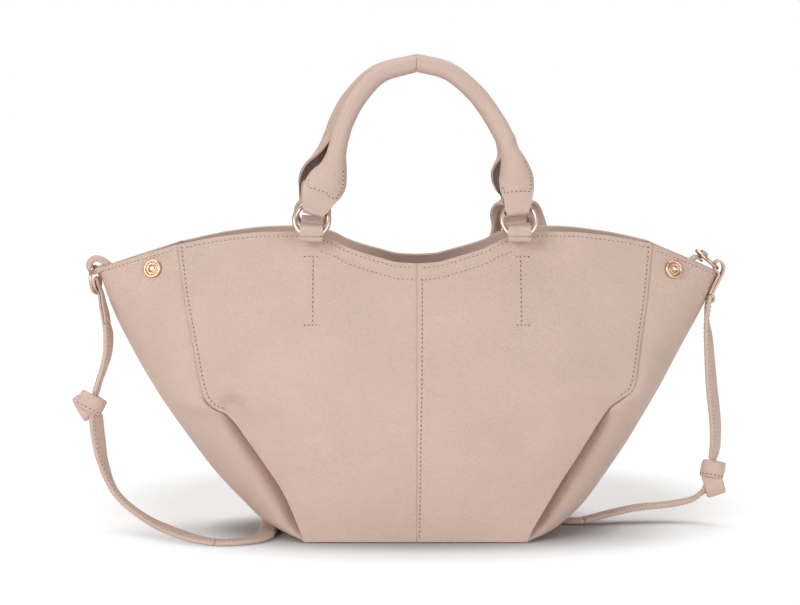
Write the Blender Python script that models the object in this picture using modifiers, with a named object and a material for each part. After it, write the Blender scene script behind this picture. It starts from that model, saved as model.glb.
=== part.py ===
"""Mini tote bag with winged sides, two top handles and a knotted shoulder strap.

Sizes below are millimetres and are turned to metres when a mesh is made.
X runs to the right, Y to the back and Z up. The base rests on Z = 0 and the bag opens upwards.
The front and back are mirror images; the left wing stands out further than the right one.
"""

import math

import bmesh
import bpy
import numpy as np
from mathutils import Matrix, Vector

MM = 0.001
GAP = 0.3

# Layers of the wall, from the outside in
LEATHER = 1.6
LAYER_GAP = 3.0
LINING = 1.0
FACING = 1.2
LINING_INSET = LEATHER + LAYER_GAP
FACING_DEPTH_SHARE = 0.13
LINING_FOOT = 5.2
WING_INSET = 3.6

# Base
BASE_HALF_WIDTH = 72.0
BASE_HALF_DEPTH = 54.0
BASE_LEATHER = 1.6
BOARD = 1.5
BASE_LINING = 1.0
FOOT_HALF_WIDTH = BASE_HALF_WIDTH + 1
FOOT_HALF_DEPTH = BASE_HALF_DEPTH + 4

# Front and back panel: height and half size along the panel's edge and its middle
PANEL_EDGE = [(0, FOOT_HALF_WIDTH), (13, 78.5), (33, 88), (48, 98), (85, 120.4), (92, 133), (99, 139), (138.5, 144.4), (193, 153.3)]
MIDDLE_DEPTH = [(0, FOOT_HALF_DEPTH), (30, 63), (60, 67), (90, 69), (120, 66), (155, 57), (182, 46), (202, 41)]
EDGE_DEPTH = [(0, FOOT_HALF_DEPTH), (48, 50), (85, 50), (138, 36), (194, 22)]
RIM = [(0, 181.7), (23.4, 185.1), (45.5, 191.9), (56.5, 197.8), (68.2, 201.0), (97.5, 201.4), (153.3, 193.2)]
PANEL_ROUNDNESS = 2.2
SEAM_LAP = 5.0

# Wings: height and reach of the fold that runs up each side
LEFT_NOSE = [(0, FOOT_HALF_WIDTH), (3, 89), (9, 103.7), (19, 115), (39, 134.4), (60, 150.4), (90, 171), (120, 189),
             (150, 203.5), (175, 212)]
RIGHT_NOSE = [(0, FOOT_HALF_WIDTH), (3, 90), (9, 101), (19, 112), (39, 127), (60, 141), (90, 158.3), (120, 174.8),
              (150, 191), (172.5, 201.5)]
VALLEY_DEPTH = 12.0
VALLEY_TOP = 86.0
VALLEY_SHIFT = 1.5
ROUND_WING = 2.0
SHARP_WING = 1.15

ROWS = [0.002, 0.012, 0.03, 0.06, 0.1, 0.17, 0.25, 0.34, 0.43, 0.47, 0.51, 0.6, 0.7, 0.8, 0.87, 0.94, 1]
HALF_COLUMNS = [0, 0.12, 0.26, 0.4, 0.55, 0.7, 0.83, 0.93]
WING_ANGLES = [0, 22.5, 45, 65, 90, 115, 135, 157.5, 180]

# Handle rings and the tabs that hold them
RING_X = {"left": -68.0, "right": 66.0}
RING_RADIUS = 11.0
RING_WIRE = 1.4
RING_HINGE_Y = 49.1
RING_HINGE_Z = 199.5
LEAN = math.radians(20)
TAB_WIDTH = 15.0
TAB_LEATHER = 1.6
TAB_TAIL_FOOT = 0.71
TAB_TAIL_EASE = 0.55
TAB_FRONT_ROOM = 4.7
TAB_BACK_ROOM = 2.7
TAB_TOP = 209.5

# The end of a handle leaf folded round its ring
LOOP_LEATHER = 1.5
LOOP_WIDTH = 15.0
LOOP_FRONT_ROOM = 3.9
LOOP_BACK_ROOM = 1.9
LOOP_DROP = 7.6
LOOP_DEPTH = LOOP_FRONT_ROOM + LOOP_BACK_ROOM + 2 * LOOP_LEATHER

# Handles, in the plane that leans inwards from the top of the rings
HANDLE_PATH = [(-67.5, 4), (-65.5, 9), (-61.5, 15), (-57.5, 25), (-53, 38), (-47.5, 55), (-39, 72), (-24, 89),
               (-1, 97), (21, 91.5), (38.5, 77), (51, 58), (58.5, 37), (62, 22), (64, 13), (65.5, 4)]
TUBE = 12.0
HANDLE_WALL = 1.3
HANDLE_WIDTHS = [(2, 15), (6, 19), (13, 27), (22, 26), (32, 17), (42, TUBE)]
HANDLE_THICKNESSES = [(2, LOOP_DEPTH), (6, 5.2), (13, 3.4), (22, 4.4), (32, 9), (42, TUBE)]
HANDLE_SIDES = 12
CORE_FOOT = 44.0
CORE_END_GAP = 1.0

# Press studs
STUD_X = {"left": 173.8, "right": 168.9}
STUD_RADIUS = 6.25
STUD_DOME = 2.4
STUD_EASE = 0.25
STUD_POST = 1.4
STUD_HOLE = 1.7
CAP_THICKNESS = 1.0

# Wing rings
WING_RING_RADIUS = 8.8
WING_RING_WIRE = 1.2
LEFT_RING_TOP = (-216.2, 0, 175.5)
LEFT_RING_LEAN = math.radians(10)
RIGHT_RING_CENTRE = (193, 0, 183.4)
RIGHT_RING_TILT = math.radians(38)
RIGHT_TAB_ANGLE = math.radians(110)
WING_TAB_WIDTH = 8.0
WING_TAB_LEATHER = 1.3
WING_TAB_LOOP = 3.15

# Shoulder strap
STRAP_WIDTH = 12.0
STRAP_THICKNESS = 2.9
STRAP_PLY = 1.45
LEFT_END_LENGTH = 20.0
LEFT_HANG = math.radians(17)

# The right end of the strap, seen from the front: the line that its two plies share, then the way round the ring
RIGHT_PLIES = [(197.3, 157.5), (200.6, 164.5), (203.6, 171)]
RIGHT_FOLD = [(206.6, 175.5), (206.2, 180), (203.8, 183.4), (200.3, 184.8), (197, 184), (195.2, 181.9), (195.2, 179.2),
              (197.2, 176.6), (200.3, 175.5), (202.6, 174.6)]

# Each strap point is a place and the direction of the strap's width
LEFT_DROP = [
    ((-206.2, 0, 131), (0, 1, 0)),
    ((-206.2, 0, 115), (0, 1, 0)),
    ((-207.4, 0, 102), (0, 1, 0)),
    ((-210.15, 0, 93.9), (0, 1, 0)),
]
RIGHT_DROP = [
    ((195.0, 0, 149), (0, 1, 0)),
    ((194.6, 0, 140), (0, 1, 0)),
    ((195.6, 0, 128), (0, 1, 0)),
    ((198.4, 0, 100), (0.2, 0.98, 0)),
    ((200.6, 3, 70), (0.5, 0.86, 0)),
    ((200.8, 9, 55), (0.5, 0.86, 0)),
    ((200, 12.6, 47.5), (0.5, 0.86, 0)),
]
MIDDLE = [
    ((-217.6, 0, 73.1), (0, 1, 0)),
    ((-218, -2, 60), (0, 1, 0)),
    ((-214, -6, 42), (0.15, 0.98, 0)),
    ((-203, -14, 23), (0.3, 0.95, 0)),
    ((-180, -32, 11), (0.5, 0.86, 0)),
    ((-152, -56, 4.5), (0.6, 0.8, 0)),
    ((-130, -67, 1.7), (0.2, 0.98, 0)),
    ((-110, -60, 1.7), (-0.6, 0.8, 0)),
    ((-100, -42, 1.7), (-0.97, 0.25, 0)),
    ((-98.5, -15, 1.7), (-1, 0, 0)),
    ((-98.5, 20, 1.7), (-1, 0, 0)),
    ((-98.5, 50, 1.7), (-1, 0, 0)),
    ((-98, 68, 4), (-1, 0, 0)),
    ((-94, 76, 17), (-0.95, 0, 0.3)),
    ((-80, 76.5, 40), (-0.8, 0, 0.6)),
    ((-40, 76, 92), (-0.79, 0, 0.61)),
    ((0, 69.5, 136), (-0.74, 0, 0.67)),
    ((32, 60.5, 165), (-0.74, 0, 0.67)),
    ((46.5, 53.5, 184), (-0.95, -0.1, 0.3)),
    ((47.8, 50.5, 198), (-0.7, -0.7, 0)),
    ((46.6, 46.5, 206.5), (-0.7, -0.7, 0)),
    ((45.6, 40, 213), (-0.9, 0, -0.3)),
    ((54, 31, 218), (-0.6, 0.4, -0.65)),
    ((67, 28, 219.5), (0, 0.5, -0.86)),
    ((76, 30.5, 217.5), (0.6, 0.4, -0.65)),
    ((84.5, 39.5, 212.5), (0.9, 0.1, -0.3)),
    ((86, 46.5, 206.5), (1, 0, 0)),
    ((86, 50.5, 198), (1, 0, 0)),
    ((86, 56, 184), (1, 0, 0)),
    ((88.5, 67, 145), (1, 0, 0)),
    ((91.5, 74, 100), (1, 0, 0)),
    ((96, 76, 50), (1, 0, 0)),
    ((98.5, 75, 16), (1, 0, 0)),
    ((98.5, 68, 4), (1, 0, 0)),
    ((98.5, 50, 1.7), (1, 0, 0)),
    ((98.5, 33, 1.7), (1, 0, 0)),
    ((101.5, 19, 1.7), (0.7, 0.7, 0)),
    ((113, 14.5, 3), (0, 1, 0)),
    ((130, 19, 6.5), (-0.2, 0.98, 0)),
    ((150, 24, 10), (-0.2, 0.98, 0)),
    ((172, 26, 12), (0, 1, 0)),
    ((187, 24, 15.5), (0.2, 0.98, 0)),
    ((195, 20, 21.5), (0.4, 0.9, 0)),
    ((197.6, 17.5, 25.6), (0.5, 0.86, 0)),
]
LEFT_KNOT = ((-214.8, 0, 84), (10.5, 7.5, 10.8))
RIGHT_KNOT = ((199.2, 14.5, 37), (9, 7.5, 10.6))
STRAP_STEPS = 3


def clear_scene():
    for obj in list(bpy.data.objects):
        bpy.data.objects.remove(obj, do_unlink=True)


def new_collection(name, hidden):
    collection = bpy.data.collections.new(name)
    bpy.context.scene.collection.children.link(collection)
    collection.hide_render = hidden
    return collection


clear_scene()
BAG = new_collection("mini_tote_bag", False)
CUTTERS = new_collection("cutters", True)


def material(name, colour, roughness, metallic):
    made = bpy.data.materials.get(name)
    if made is None:
        made = bpy.data.materials.new(name)
        made.use_nodes = True
        shader = made.node_tree.nodes["Principled BSDF"]
        shader.inputs["Base Color"].default_value = (*colour, 1)
        shader.inputs["Roughness"].default_value = roughness
        shader.inputs["Metallic"].default_value = metallic
    return made


def leather():
    return material("leather", (0.65, 0.49, 0.41), 0.55, 0)


def lining_cloth():
    return material("lining", (0.55, 0.42, 0.36), 0.8, 0)


def metal():
    return material("metal", (0.86, 0.66, 0.55), 0.22, 1)


def board():
    return material("board", (0.45, 0.4, 0.34), 0.9, 0)


def cord():
    return material("core", (0.7, 0.66, 0.6), 0.9, 0)


def unit(vector):
    vector = np.array(vector, float)
    return vector / np.linalg.norm(vector)


def read(knots, at):
    """The value at one height of an outline given as pairs of height and value."""
    return float(np.interp(at, [knot[0] for knot in knots], [knot[1] for knot in knots]))


def add_mesh(name, points, faces, look, origin=(0, 0, 0)):
    """A mesh from world points in millimetres, with its origin at a world point."""
    data = bpy.data.meshes.new(name)
    moved = (np.array(points, float) - np.array(origin, float)) * MM
    data.from_pydata([tuple(point) for point in moved], [], faces)
    data.materials.append(look)
    obj = bpy.data.objects.new(name, data)
    obj.location = [value * MM for value in origin]
    BAG.objects.link(obj)
    face_outwards(obj)
    return obj


def face_outwards(obj):
    made = bmesh.new()
    made.from_mesh(obj.data)
    bmesh.ops.recalc_face_normals(made, faces=made.faces)
    made.to_mesh(obj.data)
    made.free()
    for polygon in obj.data.polygons:
        polygon.use_smooth = True


def shell(name, grid, thickness, look):
    """An open surface through rows of points, thickened towards the inside of the bag."""
    rows = len(grid)
    columns = len(grid[0])
    points = np.array([point for row in grid for point in row], float)
    faces = []
    for row in range(rows - 1):
        for column in range(columns - 1):
            corner = row * columns + column
            faces.append((corner, corner + 1, corner + columns + 1, corner + columns))
    middle = np.array([0, 0, 100.0])
    outward = 0
    for face in faces:
        a, b, c, d = (points[index] for index in face)
        outward += np.dot(np.cross(c - a, d - b), (a + c) / 2 - middle)
    if outward < 0:
        faces = [face[::-1] for face in faces]
    data = bpy.data.meshes.new(name)
    data.from_pydata([tuple(point * MM) for point in points], [], faces)
    data.materials.append(look)
    for polygon in data.polygons:
        polygon.use_smooth = True
    obj = bpy.data.objects.new(name, data)
    BAG.objects.link(obj)
    solid = obj.modifiers.new("thickness", "SOLIDIFY")
    solid.thickness = thickness * MM
    solid.offset = -1
    return obj


def loft(rings, closed_ends=True):
    """Points and faces of a tube through rings that all hold the same number of points."""
    count = len(rings[0])
    points = [point for ring in rings for point in ring]
    faces = []
    for ring in range(len(rings) - 1):
        for side in range(count):
            nxt = (side + 1) % count
            faces.append((ring * count + side, ring * count + nxt, (ring + 1) * count + nxt, (ring + 1) * count + side))
    if closed_ends:
        faces.append(tuple(range(count))[::-1])
        last = (len(rings) - 1) * count
        faces.append(tuple(range(last, last + count)))
    return points, faces


def smooth_path(knots, steps):
    """A curve through the knots: each knot may hold any number of values."""
    knots = np.array(knots, float)
    padded = np.vstack([2 * knots[0] - knots[1], knots, 2 * knots[-1] - knots[-2]])
    found = []
    for index in range(len(knots) - 1):
        before, start, end, after = padded[index:index + 4]
        for step in range(steps):
            t = step / steps
            found.append(0.5 * (2 * start + (end - before) * t
                                + (2 * before - 5 * start + 4 * end - after) * t * t
                                + (3 * start - before - 3 * end + after) * t ** 3))
    found.append(knots[-1])
    return np.array(found)


def band(name, centres, widths, width, thickness, look, origin=(0, 0, 0)):
    """A flat strip along a path: one direction across the strip for each point of the path."""
    rings = []
    for index, centre in enumerate(centres):
        before = centres[max(index - 1, 0)]
        after = centres[min(index + 1, len(centres) - 1)]
        along = unit(after - before)
        across = unit(widths[index] - along * np.dot(widths[index], along))
        up = np.cross(along, across)
        half = across * width / 2
        lift = up * thickness / 2
        rings.append([centre - half - lift, centre + half - lift, centre + half + lift, centre - half + lift])
    points, faces = loft(rings)
    return add_mesh(name, points, faces, look, origin)


def strap_piece(name, knots):
    values = smooth_path([list(place) + list(across) for place, across in knots], STRAP_STEPS)
    return band(name, values[:, :3], values[:, 3:], STRAP_WIDTH, STRAP_THICKNESS, leather())


def panel_surface(share, level, side):
    """A point of the front panel's outer face. share runs 0 to 1 from the middle to the edge, side is -1 or 1."""
    height = level * read(RIM, share * PANEL_EDGE[-1][1])
    reach = share * read(PANEL_EDGE, height)
    edge = read(EDGE_DEPTH, height)
    middle = read(MIDDLE_DEPTH, height)
    depth = edge + (middle - edge) * (1 - share ** PANEL_ROUNDNESS)
    return np.array([side * max(reach, GAP / 2), -depth, height])


def panel_point(share, level, side, inset, front):
    """The same point moved in from the outer face, for the front (1) or the back (-1)."""
    step = 0.01
    place = panel_surface(share, level, side)
    if inset:
        across = panel_surface(share + step, level, side) - panel_surface(max(share - step, 0), level, side)
        rise = panel_surface(share, min(level + step, 1), side) - panel_surface(share, level - step, side)
        outward = unit(np.cross(across, rise)) * side
        place = place - outward * inset
    return place * np.array([1, front, 1])


def lap_share(level):
    return 1 - SEAM_LAP / read(PANEL_EDGE, level * PANEL_EDGE[-1][0])


def outer_panel(name, side, front):
    grid = []
    for level in ROWS:
        shares = HALF_COLUMNS + [lap_share(level), 1]
        grid.append([panel_point(share, level, side, 0, front) for share in shares])
    return shell(name, grid, LEATHER, leather())


def inner_panel(name, front, levels, thickness, look):
    """A facing or a lining, in one piece from edge to edge."""
    grid = []
    for level in levels:
        shares = HALF_COLUMNS[1:] + [lap_share(level)]
        left = [panel_point(share, level, -1, LINING_INSET, front) for share in reversed(shares)]
        right = [panel_point(share, level, 1, LINING_INSET, front) for share in shares]
        grid.append(left + right)
    return shell(name, grid, thickness, look)


def valley(height):
    """How far the wing dips in beside the panel's edge, between the base and the hook of the seam."""
    if height >= VALLEY_TOP:
        return 0.0
    return VALLEY_DEPTH * math.sin(math.pi * height / VALLEY_TOP) ** 0.8


def inset_outline(knots, inset):
    """The outline of a wing's fold, moved in square to itself."""
    points = np.array([(value, height) for height, value in knots], float)
    found = []
    for index, point in enumerate(points):
        along = unit(points[min(index + 1, len(points) - 1)] - points[max(index - 1, 0)])
        found.append(point + inset * np.array([-along[1], along[0]]))
    return [(height, value) for value, height in found]


def wing_sharpness(height, rim):
    if height <= VALLEY_TOP:
        return ROUND_WING
    return ROUND_WING + (SHARP_WING - ROUND_WING) * (height - VALLEY_TOP) / (rim - VALLEY_TOP)


def wing_point(side, level, angle, inset):
    """A point of a wing: angle 0 is beside the front panel, 90 the fold and 180 beside the back panel."""
    nose = LEFT_NOSE if side < 0 else RIGHT_NOSE
    seam_rim = RIM[-1][1]
    tip_rim = nose[-1][0]
    turn = math.radians(angle)
    share = max(math.sin(turn), 0) ** (2 / SHARP_WING)
    height = level * (seam_rim - (seam_rim - tip_rim) * share)
    if inset:
        height = max(height, LINING_FOOT)
    power = 2 / wing_sharpness(height, seam_rim)
    start = read(PANEL_EDGE, height) + VALLEY_SHIFT * min(height / 6, 1)
    half_depth = read(EDGE_DEPTH, height) - LEATHER - GAP - valley(height)
    reach = read(nose, height) - start
    if inset:
        inner = max(read(inset_outline(nose, inset), height) - start, 0)
        reach = min(reach * (half_depth - inset) / half_depth, inner)
        half_depth -= inset
    across = math.copysign(abs(math.cos(turn)) ** power, math.cos(turn))
    return np.array([side * (start + reach * max(math.sin(turn), 0) ** power), -half_depth * across, height])


def outer_wing(name, side):
    grid = []
    for level in ROWS:
        lap = [panel_point(share, level, side, LEATHER + GAP, 1) for share in (lap_share(level), 0.998)]
        back_lap = [point * np.array([1, -1, 1]) for point in reversed(lap)]
        grid.append(lap + [wing_point(side, level, angle, 0) for angle in WING_ANGLES] + back_lap)
    return shell(name, grid, LEATHER, leather())


def inner_wing(name, side, levels, thickness, look):
    grid = []
    for level in levels:
        row = [wing_point(side, level, angle, WING_INSET) for angle in WING_ANGLES]
        lap = np.array([side * 8.0, 0, 0])
        grid.append([row[0] - lap] + row + [row[-1] - lap])
    return shell(name, grid, thickness, look)


def base_plate(name, bottom, thickness, look, shrink=0):
    made = bmesh.new()
    bmesh.ops.create_cube(made, size=1)
    size = Matrix.Diagonal((2 * (BASE_HALF_WIDTH - shrink) * MM, 2 * (BASE_HALF_DEPTH - shrink) * MM, thickness * MM, 1))
    bmesh.ops.transform(made, matrix=Matrix.Translation((0, 0, (bottom + thickness / 2) * MM)) @ size, verts=made.verts)
    data = bpy.data.meshes.new(name)
    made.to_mesh(data)
    made.free()
    data.materials.append(look)
    obj = bpy.data.objects.new(name, data)
    BAG.objects.link(obj)
    return obj


def ring(name, centre, normal, radius, wire, segments, sides, origin):
    """A wire ring with its origin on the axis it turns about."""
    bpy.ops.mesh.primitive_torus_add(major_radius=radius * MM, minor_radius=wire * MM,
                                     major_segments=segments, minor_segments=sides)
    obj = bpy.context.active_object
    obj.name = name
    turn = Vector((0, 0, 1)).rotation_difference(Vector(tuple(normal))).to_matrix().to_4x4()
    shift = Matrix.Translation([(c - o) * MM for c, o in zip(centre, origin)])
    obj.data.transform(shift @ turn)
    obj.location = [value * MM for value in origin]
    obj.data.materials.append(metal())
    for polygon in obj.data.polygons:
        polygon.use_smooth = True
    for collection in list(obj.users_collection):
        collection.objects.unlink(obj)
    BAG.objects.link(obj)
    return obj


def handle_tab(name, side, front):
    """A strip that comes up behind the outer panel, goes over the rim and round the ring."""
    sign = -1 if side == "left" else 1
    centre_x = RING_X[side]
    share = abs(centre_x) / PANEL_EDGE[-1][1]
    inset = LEATHER + GAP + TAB_TAIL_EASE + TAB_LEATHER / 2
    centres = []
    widths = []
    for level in np.linspace(TAB_TAIL_FOOT, 0.985, 5):
        height = level * read(RIM, abs(centre_x))
        here = abs(centre_x) / read(PANEL_EDGE, height)
        point = panel_point(here, level, sign, inset, 1)
        point[0] = centre_x
        step = panel_point(here + 0.02, level, sign, inset, 1) - panel_point(here - 0.02, level, sign, inset, 1)
        centres.append(point)
        widths.append(unit(step * sign))
    half = TAB_LEATHER / 2
    front_y = -RING_HINGE_Y - TAB_FRONT_ROOM - half
    back_y = -RING_HINGE_Y + TAB_BACK_ROOM + half
    foot = RING_HINGE_Z - RING_WIRE - GAP - half
    top = TAB_TOP - half
    rim = read(RIM, share * PANEL_EDGE[-1][1])
    inner_y = centres[-1][1]
    loop = [(inner_y, rim + 1), (inner_y - 1, rim + 3.2), (back_y + 1.5, rim + 6), (back_y - 2.5, top - 0.5),
            (back_y - 5.5, top), (front_y + 1.3, top - 1.8), (front_y, top - 5), (front_y, foot + 3.2),
            (front_y + 1, foot + 0.9), (front_y + 3.4, foot), (back_y - 2.2, foot), (back_y - 0.5, foot + 0.9),
            (back_y, foot + 3), (back_y, rim + 3.2)]
    tail_across = widths[-1]
    for index, (y, z) in enumerate(loop):
        centres.append(np.array([centre_x, y, z]))
        straight = min(max((index - 1) / 3, 0), 1)
        widths.append(unit(tail_across * (1 - straight) + np.array([straight, 0, 0])))
    mirror = np.array([1, front, 1])
    centres = [centre * mirror for centre in centres]
    widths = [across * mirror for across in widths]
    return band(name, centres, widths, TAB_WIDTH, TAB_LEATHER, leather())


def lean_point(x, out, rise, front):
    """A point of the leaning plane of a handle: out is square to it, rise runs up it from the top of the rings."""
    y = -RING_HINGE_Y + 2 * RING_RADIUS * math.sin(LEAN) + rise * math.sin(LEAN) - out * math.cos(LEAN)
    z = RING_HINGE_Z + 2 * RING_RADIUS * math.cos(LEAN) + rise * math.cos(LEAN) + out * math.sin(LEAN)
    return np.array([x, front * y, z])


def handle_ring(name, side, front):
    centre = lean_point(RING_X[side], 0, -RING_RADIUS, front)
    normal = (0, -front * math.cos(LEAN), math.sin(LEAN))
    origin = (RING_X[side], -front * RING_HINGE_Y, RING_HINGE_Z)
    return ring(name, centre, normal, RING_RADIUS, RING_WIRE, 28, 8, origin)


def handle_ring_points(path, index, front, width, thickness, shift, sides):
    here = path[index]
    along = unit(path[min(index + 1, len(path) - 1)] - path[max(index - 1, 0)])
    if index in (0, len(path) - 1):
        along = np.array([0, 1.0 if index == 0 else -1.0])
    across = np.array([along[1], -along[0]])
    points = []
    for side in range(sides):
        turn = 2 * math.pi * side / sides
        offset = across * math.cos(turn) * width / 2
        points.append(lean_point(here[0] + offset[0], shift + math.sin(turn) * thickness / 2, here[1] + offset[1], front))
    return points


def leaf_shift(rise):
    """The foot of a leaf sits back a little, where its loop has more room behind the ring."""
    return -(LOOP_BACK_ROOM - LOOP_FRONT_ROOM) / 2 * max(0, 1 - (rise - 2) / 9)


def cut_path(path, rise):
    """A handle path with a station added on each leg at one height."""
    found = [path[0]]
    for start, end in zip(path[:-1], path[1:]):
        if (start[1] - rise) * (end[1] - rise) < 0:
            found.append(start + (end - start) * (rise - start[1]) / (end[1] - start[1]))
        found.append(end)
    return np.array(found)


def handle_half(name, side, front):
    path = cut_path(smooth_path(HANDLE_PATH, 2), CORE_FOOT)
    middle = int(np.argmin(np.abs(path[:, 0])))
    if side == "left":
        stations = list(range(0, middle + 1))
        joint = -GAP / 2
    else:
        stations = list(range(len(path) - 1, middle - 1, -1))
        joint = GAP / 2
    outer = []
    inner = []
    for index in stations:
        rise = path[index][1]
        width = read(HANDLE_WIDTHS, rise)
        thickness = read(HANDLE_THICKNESSES, rise)
        outer.append(handle_ring_points(path, index, front, width, thickness, leaf_shift(rise), HANDLE_SIDES))
        if rise > CORE_FOOT - GAP:
            bore = TUBE - 2 * HANDLE_WALL
            inner.append(handle_ring_points(path, index, front, bore, bore, 0, HANDLE_SIDES))
    for rings in (outer, inner):
        shift = joint - path[middle][0]
        rings[-1] = [point + np.array([shift, 0, 0]) for point in rings[-1]]
    points, faces = loft(outer + inner[::-1])
    origin = lean_point(0, 0, 0, front)
    obj = add_mesh(name, points, faces, leather(), origin)
    loop = handle_loop(name + "_loop", side, front, origin)
    join = obj.modifiers.new("loop", "BOOLEAN")
    join.operation = "UNION"
    join.solver = "EXACT"
    join.object = loop
    return obj


def handle_loop(name, side, front, origin):
    """The end of a leaf folded round its ring."""
    half = LOOP_LEATHER / 2
    near = LOOP_FRONT_ROOM + half
    far = -LOOP_BACK_ROOM - half
    outline = [(near - 0.3, 5.5), (near, 2), (near, -3), (near - 0.5, -LOOP_DROP + 2.2), (near - 1.8, -LOOP_DROP + 0.5),
               (-0.8, -LOOP_DROP), (far + 1.8, -LOOP_DROP + 0.5), (far + 0.5, -LOOP_DROP + 2.2), (far, -3), (far, 2),
               (far + 0.6, 4.5)]
    centres = [lean_point(RING_X[side], out, rise, front) for out, rise in outline]
    widths = [np.array([1.0, 0, 0])] * len(centres)
    obj = band(name, centres, widths, LOOP_WIDTH, LOOP_LEATHER, leather(), origin)
    BAG.objects.unlink(obj)
    CUTTERS.objects.link(obj)
    obj.hide_render = True
    obj.display_type = "WIRE"
    return obj


def handle_core(name, front):
    foot = CORE_FOOT + CORE_END_GAP
    path = cut_path(smooth_path(HANDLE_PATH, 2), foot)
    radius = TUBE / 2 - HANDLE_WALL - GAP
    rings = []
    for index in range(len(path)):
        if path[index][1] > foot - GAP:
            rings.append(handle_ring_points(path, index, front, 2 * radius, 2 * radius, 0, HANDLE_SIDES))
    points, faces = loft(rings)
    return add_mesh(name, points, faces, cord(), lean_point(0, 0, 0, front))


def stud_frame(side):
    """Where a press stud sits on the front of a wing, and the direction it faces."""
    sign = -1 if side == "left" else 1
    low, level, high = ROWS[-3:]
    row = [wing_point(sign, level, angle, 0) for angle in WING_ANGLES]
    for index in range(len(WING_ANGLES) // 2):
        start, end = row[index], row[index + 1]
        if abs(start[0]) <= STUD_X[side] <= abs(end[0]):
            share = (STUD_X[side] - abs(start[0])) / (abs(end[0]) - abs(start[0]))
            angle = WING_ANGLES[index] + share * (WING_ANGLES[index + 1] - WING_ANGLES[index])
            rise = wing_point(sign, high, angle, 0) - wing_point(sign, low, angle, 0)
            return start + share * (end - start), unit(np.cross(end - start, rise) * sign)
    raise ValueError("no place for the press stud")


def turned(name, profile, place, facing, look, segments=16):
    """A turned piece: profile is pairs of radius and height along the way it faces."""
    data = bpy.data.meshes.new(name)
    data.from_pydata([(radius * MM, 0, height * MM) for radius, height in profile], [],
                     [(index, index + 1) for index in range(len(profile) - 1)])
    obj = bpy.data.objects.new(name, data)
    BAG.objects.link(obj)
    screw = obj.modifiers.new("turn", "SCREW")
    screw.steps = segments
    screw.render_steps = segments
    screw.use_merge_vertices = True
    screw.merge_threshold = 0.0001 * 0.1
    data.materials.append(look)
    solid = bpy.data.meshes.new_from_object(obj.evaluated_get(bpy.context.evaluated_depsgraph_get()))
    bpy.data.objects.remove(obj, do_unlink=True)
    turn = Vector((0, 0, 1)).rotation_difference(Vector(tuple(facing))).to_matrix().to_4x4()
    solid.transform(turn)
    made = bpy.data.objects.new(name, solid)
    made.location = [value * MM for value in place]
    BAG.objects.link(made)
    face_outwards(made)
    return made


def press_studs():
    for side in ("left", "right"):
        place, facing = stud_frame(side)
        for face, front in (("socket", 1), ("stud", -1)):
            mirror = np.array([1, front, 1])
            at = place * mirror
            out = facing * mirror
            hollow = [(0, 0.9), (2.2, 0.9), (2.6, 1.3), (2.6, STUD_DOME)]
            boss = [(0, 3.6), (1.6, 3.6), (2.2, 3.0), (2.2, STUD_DOME - 0.6)]
            rim = [(STUD_RADIUS - 1.2, STUD_DOME), (STUD_RADIUS - 0.3, STUD_DOME - 0.5), (STUD_RADIUS, 1.2), (STUD_RADIUS, GAP + STUD_EASE), (0, GAP + STUD_EASE)]
            profile = (hollow if face == "socket" else boss) + rim
            turned(f"press_{face}_{side}", profile, at, out, metal())
            inner = -(LEATHER + GAP + STUD_EASE)
            cap = [(0, 0), (STUD_POST, 0), (STUD_POST, inner), (STUD_RADIUS - 1, inner),
                   (STUD_RADIUS - 1, inner - CAP_THICKNESS + 0.3), (STUD_RADIUS - 1.3, inner - CAP_THICKNESS), (0, inner - CAP_THICKNESS)]
            turned(f"press_cap_{face}_{side}", cap, at, out, metal())
            hole = turned(f"hole_{face}_{side}", [(0, 4), (STUD_HOLE, 4), (STUD_HOLE, -5), (0, -5)], at, out, metal())
            BAG.objects.unlink(hole)
            CUTTERS.objects.link(hole)
            hole.hide_render = True
            hole.display_type = "WIRE"
            cut = bpy.data.objects[f"gusset_{side}"].modifiers.new("hole", "BOOLEAN")
            cut.operation = "DIFFERENCE"
            cut.solver = "EXACT"
            cut.object = hole


def left_wing_hardware():
    top = np.array(LEFT_RING_TOP, float)
    down = np.array([math.sin(LEFT_RING_LEAN), 0, -math.cos(LEFT_RING_LEAN)])
    centre = top + down * WING_RING_RADIUS
    ring("wing_ring_left", centre, (math.cos(LEFT_RING_LEAN), 0, math.sin(LEFT_RING_LEAN)),
         WING_RING_RADIUS, WING_RING_WIRE, 28, 8, LEFT_RING_TOP)
    x, _, z = LEFT_RING_TOP
    route = [(-184.5, 162), (-184.5, 173), (-185, 181.5), (-188, 185), (-195, 186), (-204, 184.6), (-211.3, 181.3)]
    for degrees in (100, 130, 160, 190, 220, 250, 280, 310, 340, 370):
        turn = math.radians(degrees)
        route.append((x + WING_TAB_LOOP * math.cos(turn), z + WING_TAB_LOOP * math.sin(turn)))
    centres = [np.array([px, 0, pz]) for px, pz in route]
    band("wing_tab_left", centres, [np.array([0, 1.0, 0])] * len(centres), WING_TAB_WIDTH, WING_TAB_LEATHER, leather())
    return strap_end("strap_end_left", centre + down * WING_RING_RADIUS, np.array([0, 1.0, 0]),
                     np.array([math.sin(LEFT_HANG), 0, -math.cos(LEFT_HANG)]), LEFT_END_LENGTH, 1.8, 1.8, 4.2, LEFT_RING_TOP)


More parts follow.
